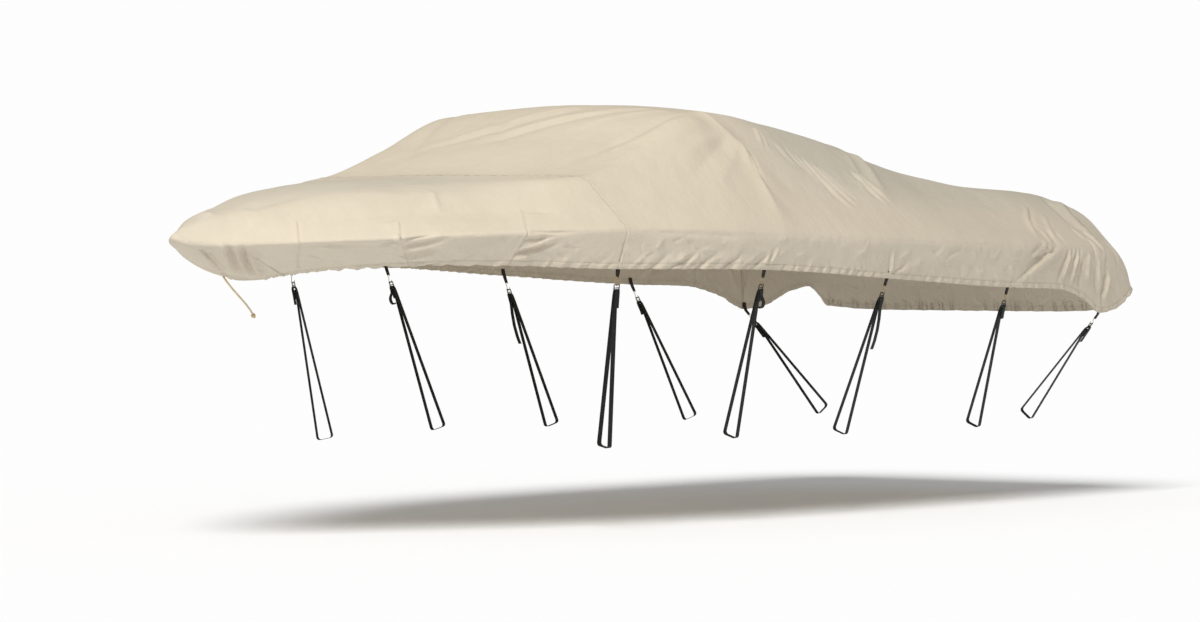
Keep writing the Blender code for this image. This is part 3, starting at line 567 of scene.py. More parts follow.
def cloth_rows(along, inner_x, side, counts):
    """The smooth surface without its creases: places[row, step], from the middle line to the hem."""
    top_steps, roll_steps, skirt_steps = counts
    gunwale, hem, _, _, out = skirt_frame(along)
    reach = np.hypot(gunwale[:, 0] - inner_x, gunwale[:, 1])
    skirt = np.linalg.norm(hem - gunwale, axis=1)
    roll = curve(along, column(GUNWALE_ROLL, 0), column(GUNWALE_ROLL, 1))
    bend_top = 1 - np.minimum(roll / reach, 0.3)
    bend_skirt = roll / skirt
    bulge = STEM_BULGE * np.maximum(0.0, 1 - along / STEM_BULGE_REACH)

    def top(share):
        x = inner_x + (gunwale[:, 0] - inner_x) * share
        y = gunwale[:, 1] * share
        return np.stack((x, y, top_height(x, y)), -1)

    def down(share):
        share = share[:, None]
        return gunwale + (hem - gunwale) * share + out * bulge[:, None] * np.sin(math.pi * share)

    places = [top(bend_top * s) for s in np.linspace(0, 1, top_steps + 1)]
    before, after = top(bend_top), down(bend_skirt)
    for s in np.linspace(0, 1, roll_steps + 1)[1:]:
        places.append((1 - s)**2 * before + 2 * s * (1 - s) * gunwale + s**2 * after)
    places += [down(bend_skirt + (1 - bend_skirt) * s) for s in np.linspace(0, 1, skirt_steps + 1)[1:]]
    return np.stack(places, 1) * np.array((1.0, side, 1.0))


def crease(u, v, u0, v0, u1, v1, bow, height, half_width):
    """A crease from a pinched end to an open end that is wider and fades out."""
    length = math.hypot(u1 - u0, v1 - v0)
    run_u, run_v = (u1 - u0) / length, (v1 - v0) / length
    past = ((u - u0) * run_u + (v - v0) * run_v) / length
    inside = np.clip(past, 0, 1)
    aside = (u - u0) * run_v - (v - v0) * run_u - bow * 4 * inside * (1 - inside)
    width = half_width * (0.7 + 0.6 * inside)
    fade = smooth_step(past, -0.06, 0.16) * smooth_step(1 - past, -0.10, 0.45)
    return height * np.exp(-np.abs(aside / width) ** 1.7) * fade


def wander(u, v, scale, seed):
    """A slow wave of no fixed pattern, from -1 to 1."""
    total = np.zeros_like(u)
    for k in range(4):
        angle = 2.4 * k + seed
        spin = scale * (0.8 + 0.35 * k)
        total += np.sin((u * math.cos(angle) + v * math.sin(angle)) / spin + 1.7 * k + seed) / 4
    return total


class Places:
    """One panel's grid, with each point's place on the cloth."""

    def __init__(self, along, inner_x, side, counts):
        self.base = cloth_rows(along, inner_x, side, counts)
        step = np.linalg.norm(np.diff(self.base, axis=1), axis=2)
        girth = np.concatenate((np.zeros((len(along), 1)), np.cumsum(step, axis=1)), axis=1)
        middle_of_bend = counts[0] + counts[1] // 2
        self.above = girth[:, middle_of_bend][:, None] - girth
        self.over_hem = girth[:, -1][:, None] - girth
        self.along = np.repeat(along[:, None], self.base.shape[1], axis=1)
        self.side = side

    def relief(self):
        """How far the creases lift each point off the smooth surface."""
        x, y = self.base[..., 0], self.base[..., 1]
        on_top = smooth_step(self.above, -0.02, 0.05)
        total = DECK_DEPTH * on_top * sum(crease(x, y, *row) for row in DECK_CREASES)
        for side, *row in SIDE_CREASES:
            if side == self.side:
                total = total + SIDE_DEPTH * crease(self.along, self.above, *row)
        for row in DARTS:
            total = total + self.dart(*row)
        total = total + self.gathers() + self.crumples() + self.hem_turn()
        return total + self.seam_puckers() + self.slackness()

    def past_seam(self, seam_x):
        """How far aft of a seam each point is, measured on the cloth."""
        on_top = smooth_step(self.above, 0.0, 0.06)
        return (self.base[..., 0] - seam_x) * on_top + (self.along - along_at(seam_x)) * (1 - on_top)

    def dart(self, a0, h0, a1, h1):
        """The groove of a dart's seam, and beside it the edge of the cloth folded under it."""
        length = math.hypot(a1 - a0, h1 - h0)
        run_a, run_h = (a1 - a0) / length, (h1 - h0) / length
        past = ((self.along - a0) * run_a + (self.above - h0) * run_h) / length
        aside = (self.along - a0) * run_h - (self.above - h0) * run_a
        inside = smooth_step(past, -0.04, 0.02) * smooth_step(1 - past, -0.04, 0.02)
        groove = -np.exp(-(aside / DART_HALF_WIDTH) ** 2)
        lap = 0.5 * np.exp(-((aside - 2.2 * DART_HALF_WIDTH) / (1.5 * DART_HALF_WIDTH)) ** 2)
        return DART_GROOVE * (groove + lap) * inside

    def gathers(self):
        """Small folds of the hem, deep and shallow in turn, where the draw cord gathers it."""
        total = np.zeros_like(self.along)
        for row, (side, start, end, count, lean, height, depth, half_width) in enumerate(GATHERS):
            if side != self.side:
                continue
            chance = np.random.default_rng(GATHER_SEED + row)
            for k in range(count):
                a = start + (end - start) * (k + 0.5 + chance.uniform(-0.35, 0.35)) / count
                size = chance.uniform(0.55, 1.25)
                tilt = lean * chance.uniform(0.7, 1.3)
                up = height * chance.uniform(0.6, 1.3)
                sign = -1 if k % 2 else 0.8
                total += crease(self.along, self.over_hem, a, -0.012, a + tilt, up, 0.0,
                                sign * depth * size, half_width * chance.uniform(0.8, 1.3))
        return total * GATHER_DEPTH

    def crumples(self):
        """Short wrinkles of the skirt that lie any way."""
        total = np.zeros_like(self.along)
        first_seed = CRUMPLE_SEEDS[self.side]
        for row, (start, end, count) in enumerate(CRUMPLED):
            chance = np.random.default_rng(first_seed + row)
            for _ in range(count):
                a, h = chance.uniform(start, end), -chance.uniform(0.01, 0.15)
                turn, reach = chance.uniform(-1.1, 1.1), chance.uniform(0.05, 0.14)
                far_end = a + reach * math.cos(turn), h + reach * math.sin(turn)
                bow = chance.uniform(-0.008, 0.008)
                height = chance.choice((-1, 1)) * chance.uniform(0.4, 1.0)
                half_width = CRUMPLE_WIDTH * chance.uniform(0.8, 1.5)
                total += crease(self.along, self.above, a, h, *far_end, bow, height, half_width)
        return total * CRUMPLE_DEPTH * smooth_step(-self.above, 0.0, 0.03)

    def hem_turn(self):
        """The turned-up hem stands a little proud, and is drawn in along its row of stitches."""
        stitched = np.exp(-((self.over_hem - HEM_WIDTH) / 0.004) ** 2)
        proud = 1 - smooth_step(self.over_hem, HEM_WIDTH - 0.004, HEM_WIDTH)
        return HEM_STEP * (proud - 0.9 * stitched)

    def seam_puckers(self):
        """Short puckers that a drawn seam leaves either side of it."""
        total = np.zeros_like(self.along)
        for seam_x, seed in ((FRONT_SEAM_X, 7), (STERN_SEAM_X, 11)):
            aside = self.past_seam(seam_x)
            near = np.exp(-(aside / PUCKER_REACH) ** 2) * (self.over_hem > 0)
            wave = np.sin(self.above / PUCKER_SPACING + 2.2 * wander(self.above, aside, 0.09, seed))
            total += PUCKER_DEPTH * near * wave
        return total

    def laid_flat(self):
        """Each point's place in plan, with the skirt turned up level outside the gunwale."""
        gunwale = skirt_edges(self.along[:, 0])[0]
        run = np.gradient(gunwale[:, :2], axis=0)
        run[self.along[:, 0] < 0.01] = (0.0, 1.0)
        run = unit(run)
        out = np.stack((run[:, 1], -run[:, 0]), -1)
        outboard = np.where((out[:, 1] < 0) & (self.along[:, 0] > 0.3), -1.0, 1.0)[:, None] * out
        below = np.maximum(0.0, -self.above)[..., None]
        plan = np.stack((self.base[..., 0], self.base[..., 1] * self.side), -1)
        level = np.where(below > 0, gunwale[:, None, :2], plan)
        laid = level + below * outboard[:, None, :]
        return laid * np.array((1.0, self.side))

    def slackness(self):
        """Slow unevenness of a cloth that is drawn tight over hard edges."""
        x, y = self.base[..., 0], self.base[..., 1]
        top = smooth_step(self.above, 0.0, 0.12)
        wide = wander(x, y, 0.11, 3.0) * SLACK_WIDE
        fine = wander(x, y * 1.6, 0.035, 5.0) * SLACK_FINE
        skirt = SLACK_SKIRT * wander(self.along, self.above, 0.05, 9.0)
        return (wide + fine) * top + skirt * (1 - top)


def rows_between(table, start, end):
    places = [start]
    for to, count in table:
        places += list(np.linspace(places[-1], end if to is None else to, count * COARSE + 1)[1:])
    return np.array(places)


def outward(base, side):
    """Outward directions of a half, whose rows run along the boat and columns from the middle out."""
    along = np.gradient(base, axis=0)
    across = np.gradient(base, axis=1)
    out = np.cross(along, across) * side
    x = base[:, 0, 0]
    step = 0.01
    slope = (top_height(x + step, 0 * x) - top_height(x - step, 0 * x)) / (2 * step)
    out[:, 0] = np.stack((-slope, 0 * x, 1 + 0 * x), -1)
    return unit(out)


class Half:
    """One side of a panel with its creases: places, and where each one is on the cloth."""

    def __init__(self, along, inner_x, side, counts, lap):
        where = Places(along, inner_x, side, counts)
        lift = where.relief() + np.repeat(lap[:, None], where.base.shape[1], axis=1)
        self.places = where.base + outward(where.base, side) * lift[..., None]
        self.along = where.along
        self.over_hem = where.over_hem
        self.laid_flat = where.laid_flat()
        self.seam = np.stack((where.past_seam(FRONT_SEAM_X), where.past_seam(STERN_SEAM_X)), -1)

    def parts(self):
        return self.places, self.laid_flat, np.stack((self.along, self.over_hem), -1), self.seam


def lapped(x, seam_x, direction):
    """The step of an upper panel where it overlaps its neighbour."""
    return LAP_STEP * (1 - smooth_step((x - seam_x) * direction, LAP, LAP + 0.022))


def front_parts():
    places = rows_between(FRONT_ROWS, 0.0, along_at(FRONT_SEAM_X) + SEAM_EDGE)
    x = skirt_edges(places)[0][:, 0]
    inner = np.clip(x, FAN_POLE_X, FRONT_SEAM_X + SEAM_EDGE)
    flat = np.zeros(len(places))
    starboard = Half(places, inner, 1, FRONT_STEPS, flat).parts()
    port = Half(places, inner, -1, FRONT_STEPS, flat).parts()
    return [np.concatenate((s[:0:-1], p)) for s, p in zip(starboard, port)]


def body_parts():
    x = rows_between(BODY_ROWS, FRONT_SEAM_X - LAP, STERN_SEAM_X + LAP)
    lap = lapped(x, FRONT_SEAM_X, 1) + lapped(x, STERN_SEAM_X, -1)
    starboard, port = (Half(along_at(x), x, side, BODY_STEPS, lap).parts() for side in (1, -1))
    return [np.concatenate((s[:, ::-1], p[:, 1:]), axis=1) for s, p in zip(starboard, port)]


def stern_parts():
    start = STERN_SEAM_X - SEAM_EDGE
    places = rows_between(STERN_ROWS, float(along_at(start)), ALONG[-1])
    inner = np.full(len(places), start)
    flat = np.zeros(len(places))
    port = Half(places, inner, -1, STERN_STEPS, flat).parts()
    starboard = Half(places, inner, 1, STERN_STEPS, flat).parts()
    return [np.concatenate((p, s[-2::-1])) for p, s in zip(port, starboard)]


def rough_faces(places, step, error):
    """For every block of that many fine steps: does the cloth leave its four corners' surface?"""
    rows = np.arange(0, places.shape[0] - 1, step)
    columns = np.arange(0, places.shape[1] - 1, step)
    corner = {(a, b): places[np.ix_(rows + a * step, columns + b * step)] for a in (0, 1) for b in (0, 1)}
    worst = np.zeros((len(rows), len(columns)))
    for i in range(step + 1):
        for j in range(step + 1):
            u, v = i / step, j / step
            flat = (corner[0, 0] * (1 - u) * (1 - v) + corner[1, 0] * u * (1 - v)
                    + corner[0, 1] * (1 - u) * v + corner[1, 1] * u * v)
            off = np.linalg.norm(places[np.ix_(rows + i, columns + j)] - flat, axis=-1)
            worst = np.maximum(worst, off)
    return worst > error


def divide(mesh, rough, step):
    """Cut the edges of the rough faces in half, and so their faces in four."""
    edges = set()
    for face in mesh.faces:
        if len(face.verts) != 4:
            continue
        low = [min(v.co[k] for v in face.verts) for k in (0, 1)]
        high = [max(v.co[k] for v in face.verts) for k in (0, 1)]
        if high[0] - low[0] > step + 0.5 or high[1] - low[1] > step + 0.5:
            continue
        if high[0] - low[0] < step - 0.5 or high[1] - low[1] < step - 0.5:
            continue
        if rough[round(low[1]) // step, round(low[0]) // step]:
            edges.update(face.edges)
    edges = sorted(edges, key=lambda edge: edge.index)
    bmesh.ops.subdivide_edges(mesh, edges=edges, cuts=1, use_grid_fill=True)


def cloth_mesh(name, parts, folded, errors):
    """A panel's mesh. A folded grid meets itself along its first column."""
    places = parts[0]
    rows, columns = places.shape[0] - 1, places.shape[1] - 1
    mesh = bmesh.new()
    bmesh.ops.create_grid(mesh, x_segments=columns // COARSE, y_segments=rows // COARSE, size=1.0)
    for vertex in mesh.verts:
        vertex.co = ((vertex.co.x + 1) / 2 * columns, (vertex.co.y + 1) / 2 * rows, 0.0)
    for step, error in zip((COARSE, COARSE // 2), errors):
        mesh.edges.index_update()
        rough = rough_faces(places, step, error)
        if folded:
            rough[:, 0] |= rough[::-1, 0]
        divide(mesh, rough, step)
    data = finished(mesh, name)
    count = len(data.vertices)
    grid = np.empty(count * 3)
    data.vertices.foreach_get("co", grid)
    grid = np.rint(grid.reshape(-1, 3)).astype(int)
    row, col = grid[:, 1], grid[:, 0]
    corner = np.empty(len(data.loops), int)
    data.loops.foreach_get("vertex_index", corner)
    for label, values in zip(("cloth", "hem", "seams"), parts[1:]):
        layer = data.uv_layers.new(name=label)
        layer.data.foreach_set("uv", values[row, col][corner].ravel())
    data.vertices.foreach_set("co", (places[row, col] - PEAK).ravel())
    over_hem = parts[2][row, col][:, 1]
    return data, over_hem


def outward_faces(data, inside):
    """Merge what meets, and turn the faces away from a point inside."""
    mesh = bmesh.new()
    mesh.from_mesh(data)
    bmesh.ops.remove_doubles(mesh, verts=mesh.verts, dist=2e-5)
    away = sum(face.normal.dot(face.calc_center_median() - inside) * face.calc_area() for face in mesh.faces)
    if away < 0:
        bmesh.ops.reverse_faces(mesh, faces=mesh.faces)
    mesh.to_mesh(data)
    mesh.free()
    data.shade_smooth()


def add_piece(name, data, material):
    thing = bpy.data.objects.new(name, data)
    data.materials.append(material)
    bpy.context.scene.collection.objects.link(thing)
    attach(thing, "root")
    return thing


def add_panel(name, parts, folded, errors, node, material):
    data, over_hem = cloth_mesh(name, parts, folded, errors)
    doubled = data.attributes.new("doubled", "FLOAT", "POINT")
    doubled.data.foreach_set("value", (over_hem < HEM_WIDTH).astype(float))
    outward_faces(data, Vector((0.0, 0.0, -0.5)))
    thing = add_piece(name, data, material)
    weights = np.empty(len(data.vertices))
    data.attributes["doubled"].data.foreach_get("value", weights)
    group = thing.vertex_groups.new(name="hem")
    group.add(np.flatnonzero(weights > 0.5).tolist(), 1.0, "REPLACE")
    data.attributes.remove(data.attributes["doubled"])
    solid = thing.modifiers.new("thickness", "SOLIDIFY")
    solid.thickness = HEM_CLOTH
    solid.offset = -1.0
    solid.vertex_group = "hem"
    solid.thickness_vertex_group = CLOTH / HEM_CLOTH
    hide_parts(node)


# ---------------------------------------------------------------- materials
class Finish:
    """A material, or a node group, put together node by node."""

    def __init__(self, tree):
        self.tree = tree

    def node(self, kind, values=(), **settings):
        node = self.tree.nodes.new(kind)
        for key, value in settings.items():
            setattr(node, key, value)
        for socket, value in dict(values).items():
            if isinstance(value, bpy.types.NodeSocket):
                self.tree.links.new(value, node.inputs[socket])
            else:
                node.inputs[socket].default_value = value
        return node

    def maths(self, operation, *values):
        return self.node("ShaderNodeMath", enumerate(values), operation=operation).outputs[0]

    def noise(self, place, scale, detail=3.0, roughness=0.55):
        values = {"Vector": place, "Scale": scale, "Detail": detail, "Roughness": roughness}
        return self.node("ShaderNodeTexNoise", values).outputs["Fac"]

    def spread(self, value, low, high, to_low=0.0, to_high=1.0):
        """A smooth change from one value to another as the first goes from low to high."""
        values = {0: value, 1: low, 2: high, 3: to_low, 4: to_high}
        return self.node("ShaderNodeMapRange", values, interpolation_type="SMOOTHSTEP").outputs[0]

    def mix(self, share, first, second, blend="MIX"):
        values = {0: share, 6: first, 7: second}
        return self.node("ShaderNodeMix", values, data_type="RGBA", blend_type=blend).outputs[2]

    def place(self, layer):
        return self.node("ShaderNodeUVMap", uv_map=layer).outputs[0]

    def on_object(self):
        return self.node("ShaderNodeTexCoord").outputs["Object"]

    def apart(self, vector):
        return self.node("ShaderNodeSeparateXYZ", {0: vector}).outputs

    def weathered(self, place, scale=1.0):
        return self.node("ShaderNodeGroup", {"Place": place, "Scale": scale}, node_tree=WEATHER).outputs


def group_tree(name, inputs, outputs):
    tree = bpy.data.node_groups.new(name, "ShaderNodeTree")
    for label, kind, value in inputs:
        socket = tree.interface.new_socket(label, in_out="INPUT", socket_type=kind)
        if value is not None:
            socket.default_value = value
    for label, kind in outputs:
        tree.interface.new_socket(label, in_out="OUTPUT", socket_type=kind)
    finish = Finish(tree)
    return tree, finish, tree.nodes.new("NodeGroupInput").outputs, tree.nodes.new("NodeGroupOutput").inputs


def weave_group():
    """Plain weave: threads that pass over and under each other, a little uneven."""
    tree, f, given, out = group_tree(
        "plain_weave",
        (("Place", "NodeSocketVector", None), ("Thread", "NodeSocketFloat", 0.001),
         ("Uneven", "NodeSocketFloat", 0.3)),
        (("Height", "NodeSocketFloat"), ("Slub", "NodeSocketFloat")))
    along, across, _ = f.apart(given["Place"])
    turn = f.maths("DIVIDE", math.pi, given["Thread"])
    warp = f.maths("SINE", f.maths("MULTIPLY", along, turn))
    weft = f.maths("SINE", f.maths("MULTIPLY", across, turn))
    crossing = f.maths("MULTIPLY", warp, weft)
    stretched = f.node("ShaderNodeMapping", {0: given["Place"], "Scale": (24.0, 700.0, 1.0)}).outputs[0]
    slub_one = f.noise(stretched, 1.0, 2.0)
    turned = f.node("ShaderNodeMapping", {0: given["Place"], "Scale": (700.0, 24.0, 1.0)}).outputs[0]
    slub_two = f.noise(turned, 1.0, 2.0)
    slub = f.maths("MULTIPLY", f.maths("ADD", slub_one, slub_two), 0.5)
    height = f.maths("ADD", f.maths("MULTIPLY", crossing, 0.5), f.maths("MULTIPLY", slub, given["Uneven"]))
    tree.links.new(height, out["Height"])
    tree.links.new(slub, out["Slub"])
    return tree


def weather_group():
    """Slow mottling of a surface that has stood outdoors, and small specks of dust."""
    tree, f, given, out = group_tree(
        "weathering",
        (("Place", "NodeSocketVector", None), ("Scale", "NodeSocketFloat", 1.0)),
        (("Cloudy", "NodeSocketFloat"), ("Specks", "NodeSocketFloat")))
    wide = f.noise(given["Place"], f.maths("MULTIPLY", given["Scale"], 1.6), 4.0, 0.6)
    close = f.noise(given["Place"], f.maths("MULTIPLY", given["Scale"], 11.0), 3.0, 0.6)
    cloudy = f.maths("ADD", f.maths("MULTIPLY", wide, 0.7), f.maths("MULTIPLY", close, 0.3))
    specks = f.noise(given["Place"], f.maths("MULTIPLY", given["Scale"], 90.0), 2.0, 0.7)
    tree.links.new(cloudy, out["Cloudy"])
    tree.links.new(f.spread(specks, 0.62, 0.78), out["Specks"])
    return tree


def stitch_group():
    """A row of stitches: dashes of thread along a line at a given distance."""
    tree, f, given, out = group_tree(
        "stitches",
        (("Distance", "NodeSocketFloat", 0.0), ("Run", "NodeSocketFloat", 0.0),
         ("Line", "NodeSocketFloat", 0.02), ("Stitch", "NodeSocketFloat", 0.004)),
        (("Thread", "NodeSocketFloat"), ("Pull", "NodeSocketFloat")))
    off = f.maths("ABSOLUTE", f.maths("SUBTRACT", given["Distance"], given["Line"]))
    turn = f.maths("MULTIPLY", given["Run"], f.maths("DIVIDE", 2 * math.pi, given["Stitch"]))
    dash = f.spread(f.maths("SINE", turn), -0.75, -0.35)
    thread = f.maths("MULTIPLY", f.spread(off, 0.0003, 0.0008, 1.0, 0.0), dash)
    tree.links.new(thread, out["Thread"])
    tree.links.new(f.spread(off, 0.0004, 0.0050, 1.0, 0.0), out["Pull"])
    return tree


WEAVE, WEATHER, STITCHES = weave_group(), weather_group(), stitch_group()


def new_material(name, roughness, metallic=0.0, sheen=0.0, specular=0.5):
    material = bpy.data.materials.new(name)
    material.use_nodes = True
    shader = material.node_tree.nodes["Principled BSDF"]
    shader.inputs["Roughness"].default_value = roughness
    shader.inputs["Metallic"].default_value = metallic
    shader.inputs["Sheen Weight"].default_value = sheen
    shader.inputs["Sheen Roughness"].default_value = 0.6
    shader.inputs["Specular IOR Level"].default_value = specular
    return material, Finish(material.node_tree), shader


def lay(f, shader, socket, value):
    f.tree.links.new(value, shader.inputs[socket])


def bump(f, shader, height, distance, strength=1.0, after=None):
    values = {"Height": height, "Distance": distance, "Strength": strength}
    if after is not None:
        values["Normal"] = after
    normal = f.node("ShaderNodeBump", values).outputs[0]
    lay(f, shader, "Normal", normal)
    return normal


CANVAS_THREAD = 0.0011
HEM_STITCH = 0.0040
SEAM_STITCH = 0.0038
SEAM_STITCH_ROWS = (0.0035, -0.0095)        # how far the two rows lie from the seam
CANVAS = (0.662, 0.592, 0.480, 1.0)
CANVAS_DAMP = (0.625, 0.556, 0.448, 1.0)
CANVAS_DUST = (0.700, 0.645, 0.530, 1.0)
THREAD = (0.560, 0.500, 0.380, 1.0)
GRIME = (0.43, 0.38, 0.29, 1.0)             # along the lower edge
STITCH_GROOVE_SHADE = (0.40, 0.35, 0.27, 1.0)          # painted shade in the groove where the stitches draw the cloth in
LEVEL_TOP_SHADE = (0.895, 0.922, 0.950, 1.0)     # painted shade: a cooler, greyer tone for the level top, which faces away from the light


def canvas_material(name, seam_index, seam_sign):
    """Proofed canvas. seam_sign says which side of its seam the panel's rows of stitches lie on."""
    material, f, shader = new_material(name, 0.90, specular=0.12)
    cloth, hem = f.place("cloth"), f.place("hem")
    run, over_hem, _ = f.apart(hem)
    across = f.apart(cloth)[1]
    values = {"Place": cloth, "Thread": CANVAS_THREAD, "Uneven": 0.7}
    weave = f.node("ShaderNodeGroup", values, node_tree=WEAVE)
    weather = f.weathered(cloth)
    threads, pulls = [], []
    lines = [(over_hem, run, HEM_WIDTH, HEM_STITCH)]
    for index, sign in zip(seam_index, seam_sign):
        seam = f.apart(f.place("seams"))[index]
        lines += [(seam, across, sign * off_seam, SEAM_STITCH) for off_seam in SEAM_STITCH_ROWS]
    for distance, along, line, stitch in lines:
        values = {"Distance": distance, "Run": along, "Line": line, "Stitch": stitch}
        row = f.node("ShaderNodeGroup", values, node_tree=STITCHES)
        threads.append(row.outputs["Thread"])
        pulls.append(row.outputs["Pull"])
    thread, pull = threads[0], pulls[0]
    for other, other_pull in zip(threads[1:], pulls[1:]):
        thread = f.maths("MAXIMUM", thread, other)
        pull = f.maths("MAXIMUM", pull, other_pull)
    cloudy = f.spread(weather["Cloudy"], 0.34, 0.66)
    colour = f.mix(cloudy, CANVAS_DAMP, CANVAS)
    colour = f.mix(f.maths("MULTIPLY", weather["Specks"], 0.25), colour, CANVAS_DUST)
    slub = f.spread(weave.outputs["Slub"], 0.35, 0.65, 0.975, 1.015)
    shade = f.node("ShaderNodeCombineColor", {0: slub, 1: slub, 2: slub}).outputs[0]
    colour = f.mix(1.0, colour, shade, "MULTIPLY")
    # Painted shade: the level foredeck and after deck, away from the windscreen's slope, are made greyer and
    # darker
    aft = f.apart(f.on_object())[0]
    off_slope = f.maths("ADD", f.spread(aft, -1.75, -1.30, 1.0, 0.0), f.spread(aft, -0.05, 0.55, 0.0, 1.0))
    level = f.maths("MULTIPLY", off_slope, f.spread(over_hem, 0.36, 0.72, 0.0, 1.0))
    colour = f.mix(level, colour, f.mix(1.0, colour, LEVEL_TOP_SHADE, "MULTIPLY"))
    grime = f.spread(over_hem, 0.0, 0.05, 0.35, 0.0)
    colour = f.mix(f.maths("MULTIPLY", grime, cloudy), colour, GRIME)
    # Painted shade: the cloth is darkened in the groove that each row of stitches draws in
    colour = f.mix(f.maths("MULTIPLY", pull, 0.16), colour, STITCH_GROOVE_SHADE)
    colour = f.mix(thread, colour, THREAD)
    lay(f, shader, "Base Color", colour)
    lay(f, shader, "Roughness", f.spread(weather["Cloudy"], 0.3, 0.7, 0.80, 0.92))
    rumple = f.noise(cloth, 26.0, 5.0, 0.62)
    soft = f.noise(cloth, 7.0, 3.0, 0.5)
    slack = f.spread(over_hem, 0.02, 0.26, 1.7, 0.8)
    folds = f.maths("MULTIPLY", f.maths("ADD", f.maths("MULTIPLY", soft, 2.5), rumple), slack)
    normal = bump(f, shader, folds, 0.0040, 0.80)
    relief = f.maths("ADD", f.maths("MULTIPLY", weave.outputs["Height"], 0.00022),
                     f.maths("MULTIPLY", thread, 0.0007))
    relief = f.maths("SUBTRACT", relief, f.maths("MULTIPLY", pull, 0.0008))
    bump(f, shader, relief, 1.0, 0.8, normal)
    return material


TAPE_CORD = 0.0016             # how far apart the webbing's lengthwise cords lie


def webbing_material(name, colour, dusty, rib):
    """Woven tape: ribs across it, and a bound edge either side that wears lighter."""
    material, f, shader = new_material(name, 0.66, specular=0.22)
    tape = f.place("tape")
    across, along, _ = f.apart(tape)
    rows = f.maths("SINE", f.maths("MULTIPLY", along, 2 * math.pi / rib))
    cords = f.maths("SINE", f.maths("MULTIPLY", across, 2 * math.pi / TAPE_CORD))
    height = f.maths("ADD", f.maths("MULTIPLY", rows, 0.6), f.maths("MULTIPLY", cords, 0.4))
    weather = f.weathered(f.on_object(), 6.0)
    edge = f.spread(f.maths("ABSOLUTE", across), 0.0095, 0.0125)
    worn = f.maths("MULTIPLY", f.spread(weather["Cloudy"], 0.40, 0.66), 0.5)
    worn = f.maths("ADD", worn, f.maths("MULTIPLY", edge, 0.35))
    worn = f.maths("ADD", worn, f.maths("MULTIPLY", weather["Specks"], 0.3))
    shade = f.mix(worn, (*colour, 1.0), (*dusty, 1.0))
    lay(f, shader, "Base Color", shade)
    lay(f, shader, "Roughness", f.spread(worn, 0.0, 1.0, 0.52, 0.80))
    bump(f, shader, height, 0.00025, 0.9)
    return material


def metal_material(name, colour, worn_colour, roughness, metallic, scale, share):
    """A finish over steel, thinned and scratched where it rubs."""
    material, f, shader = new_material(name, roughness, metallic)
    place = f.on_object()
    weather = f.weathered(place, scale)
    rubbed = f.spread(weather["Cloudy"], share, share + 0.10)
    scratched = f.node("ShaderNodeMapping", {0: place, "Scale": (900.0, 900.0, 60.0)}).outputs[0]
    scratch = f.noise(scratched, 1.0, 2.0)
    rubbed = f.maths("MAXIMUM", rubbed, f.maths("MULTIPLY", f.spread(scratch, 0.66, 0.74), 0.6))
    lay(f, shader, "Base Color", f.mix(rubbed, (*colour, 1.0), (*worn_colour, 1.0)))
    lay(f, shader, "Roughness", f.spread(rubbed, 0.0, 1.0, roughness, roughness + 0.2))
    bump(f, shader, f.maths("ADD", weather["Cloudy"], f.maths("MULTIPLY", scratch, 0.4)), 0.0003, 0.5)
    return material


ROPE_AT_HEM = (0.78, 0.47, 0.18, 1.0)
ROPE_CREAM = (0.88, 0.72, 0.44, 1.0)
# painted shade for the grooves between the rope's strands
ROPE_GROOVE_SHADE = (0.46, 0.32, 0.16, 1.0)
ROPE_SOILED = (0.58, 0.46, 0.29, 1.0)


def rope_material():
    """Laid cream rope: fine yarns that follow the lay, with painted shade in the grooves between strands."""
    material, f, shader = new_material("laid_rope", 0.8, sheen=0.2)
    turn, along, groove = f.apart(f.node("ShaderNodeAttribute", attribute_name="lay").outputs["Vector"])
    yarn = f.maths("ADD", f.maths("MULTIPLY", turn, 24.0), f.maths("MULTIPLY", along, 900.0))
    yarns = f.maths("SINE", yarn)
    weather = f.weathered(f.on_object(), 12.0)
    colour = f.mix(f.spread(along, 0.0, 0.07), ROPE_AT_HEM, ROPE_CREAM)
    # Painted shade in the grooves between the strands
    colour = f.mix(f.maths("MULTIPLY", groove, 0.6), colour, ROPE_GROOVE_SHADE)
    colour = f.mix(f.maths("MULTIPLY", weather["Cloudy"], 0.35), colour, ROPE_SOILED)
    lay(f, shader, "Base Color", colour)
    lay(f, shader, "Roughness", f.spread(weather["Cloudy"], 0.3, 0.7, 0.72, 0.9))
    bump(f, shader, yarns, 0.0003, 0.8)
    return material


TAPE = webbing_material("strap_tape", (0.0060, 0.0070, 0.0065), (0.022, 0.025, 0.021), 0.0022)
LOOP_TAPE = webbing_material("loop_tape", (0.014, 0.0085, 0.0065), (0.040, 0.027, 0.021), 0.0020)
BRASS = metal_material("brassed_wire", (0.42, 0.28, 0.09), (0.30, 0.23, 0.14), 0.38, 0.85, 30.0, 0.56)
ENAMEL = metal_material("black_enamel", (0.008, 0.008, 0.009), (0.060, 0.056, 0.050), 0.60, 0.10, 26.0, 0.62)
ROPE_YARN = rope_material()


# ---------------------------------------------------------------- the tie-downs
EASING_ROUNDS = 2
ROPE_SIDES = 30
ROPE_GROOVE = 0.30             # how deep the grooves between the strands are, as a share of the radius
ROPE_LAY = 0.034               # the length of one turn of a strand


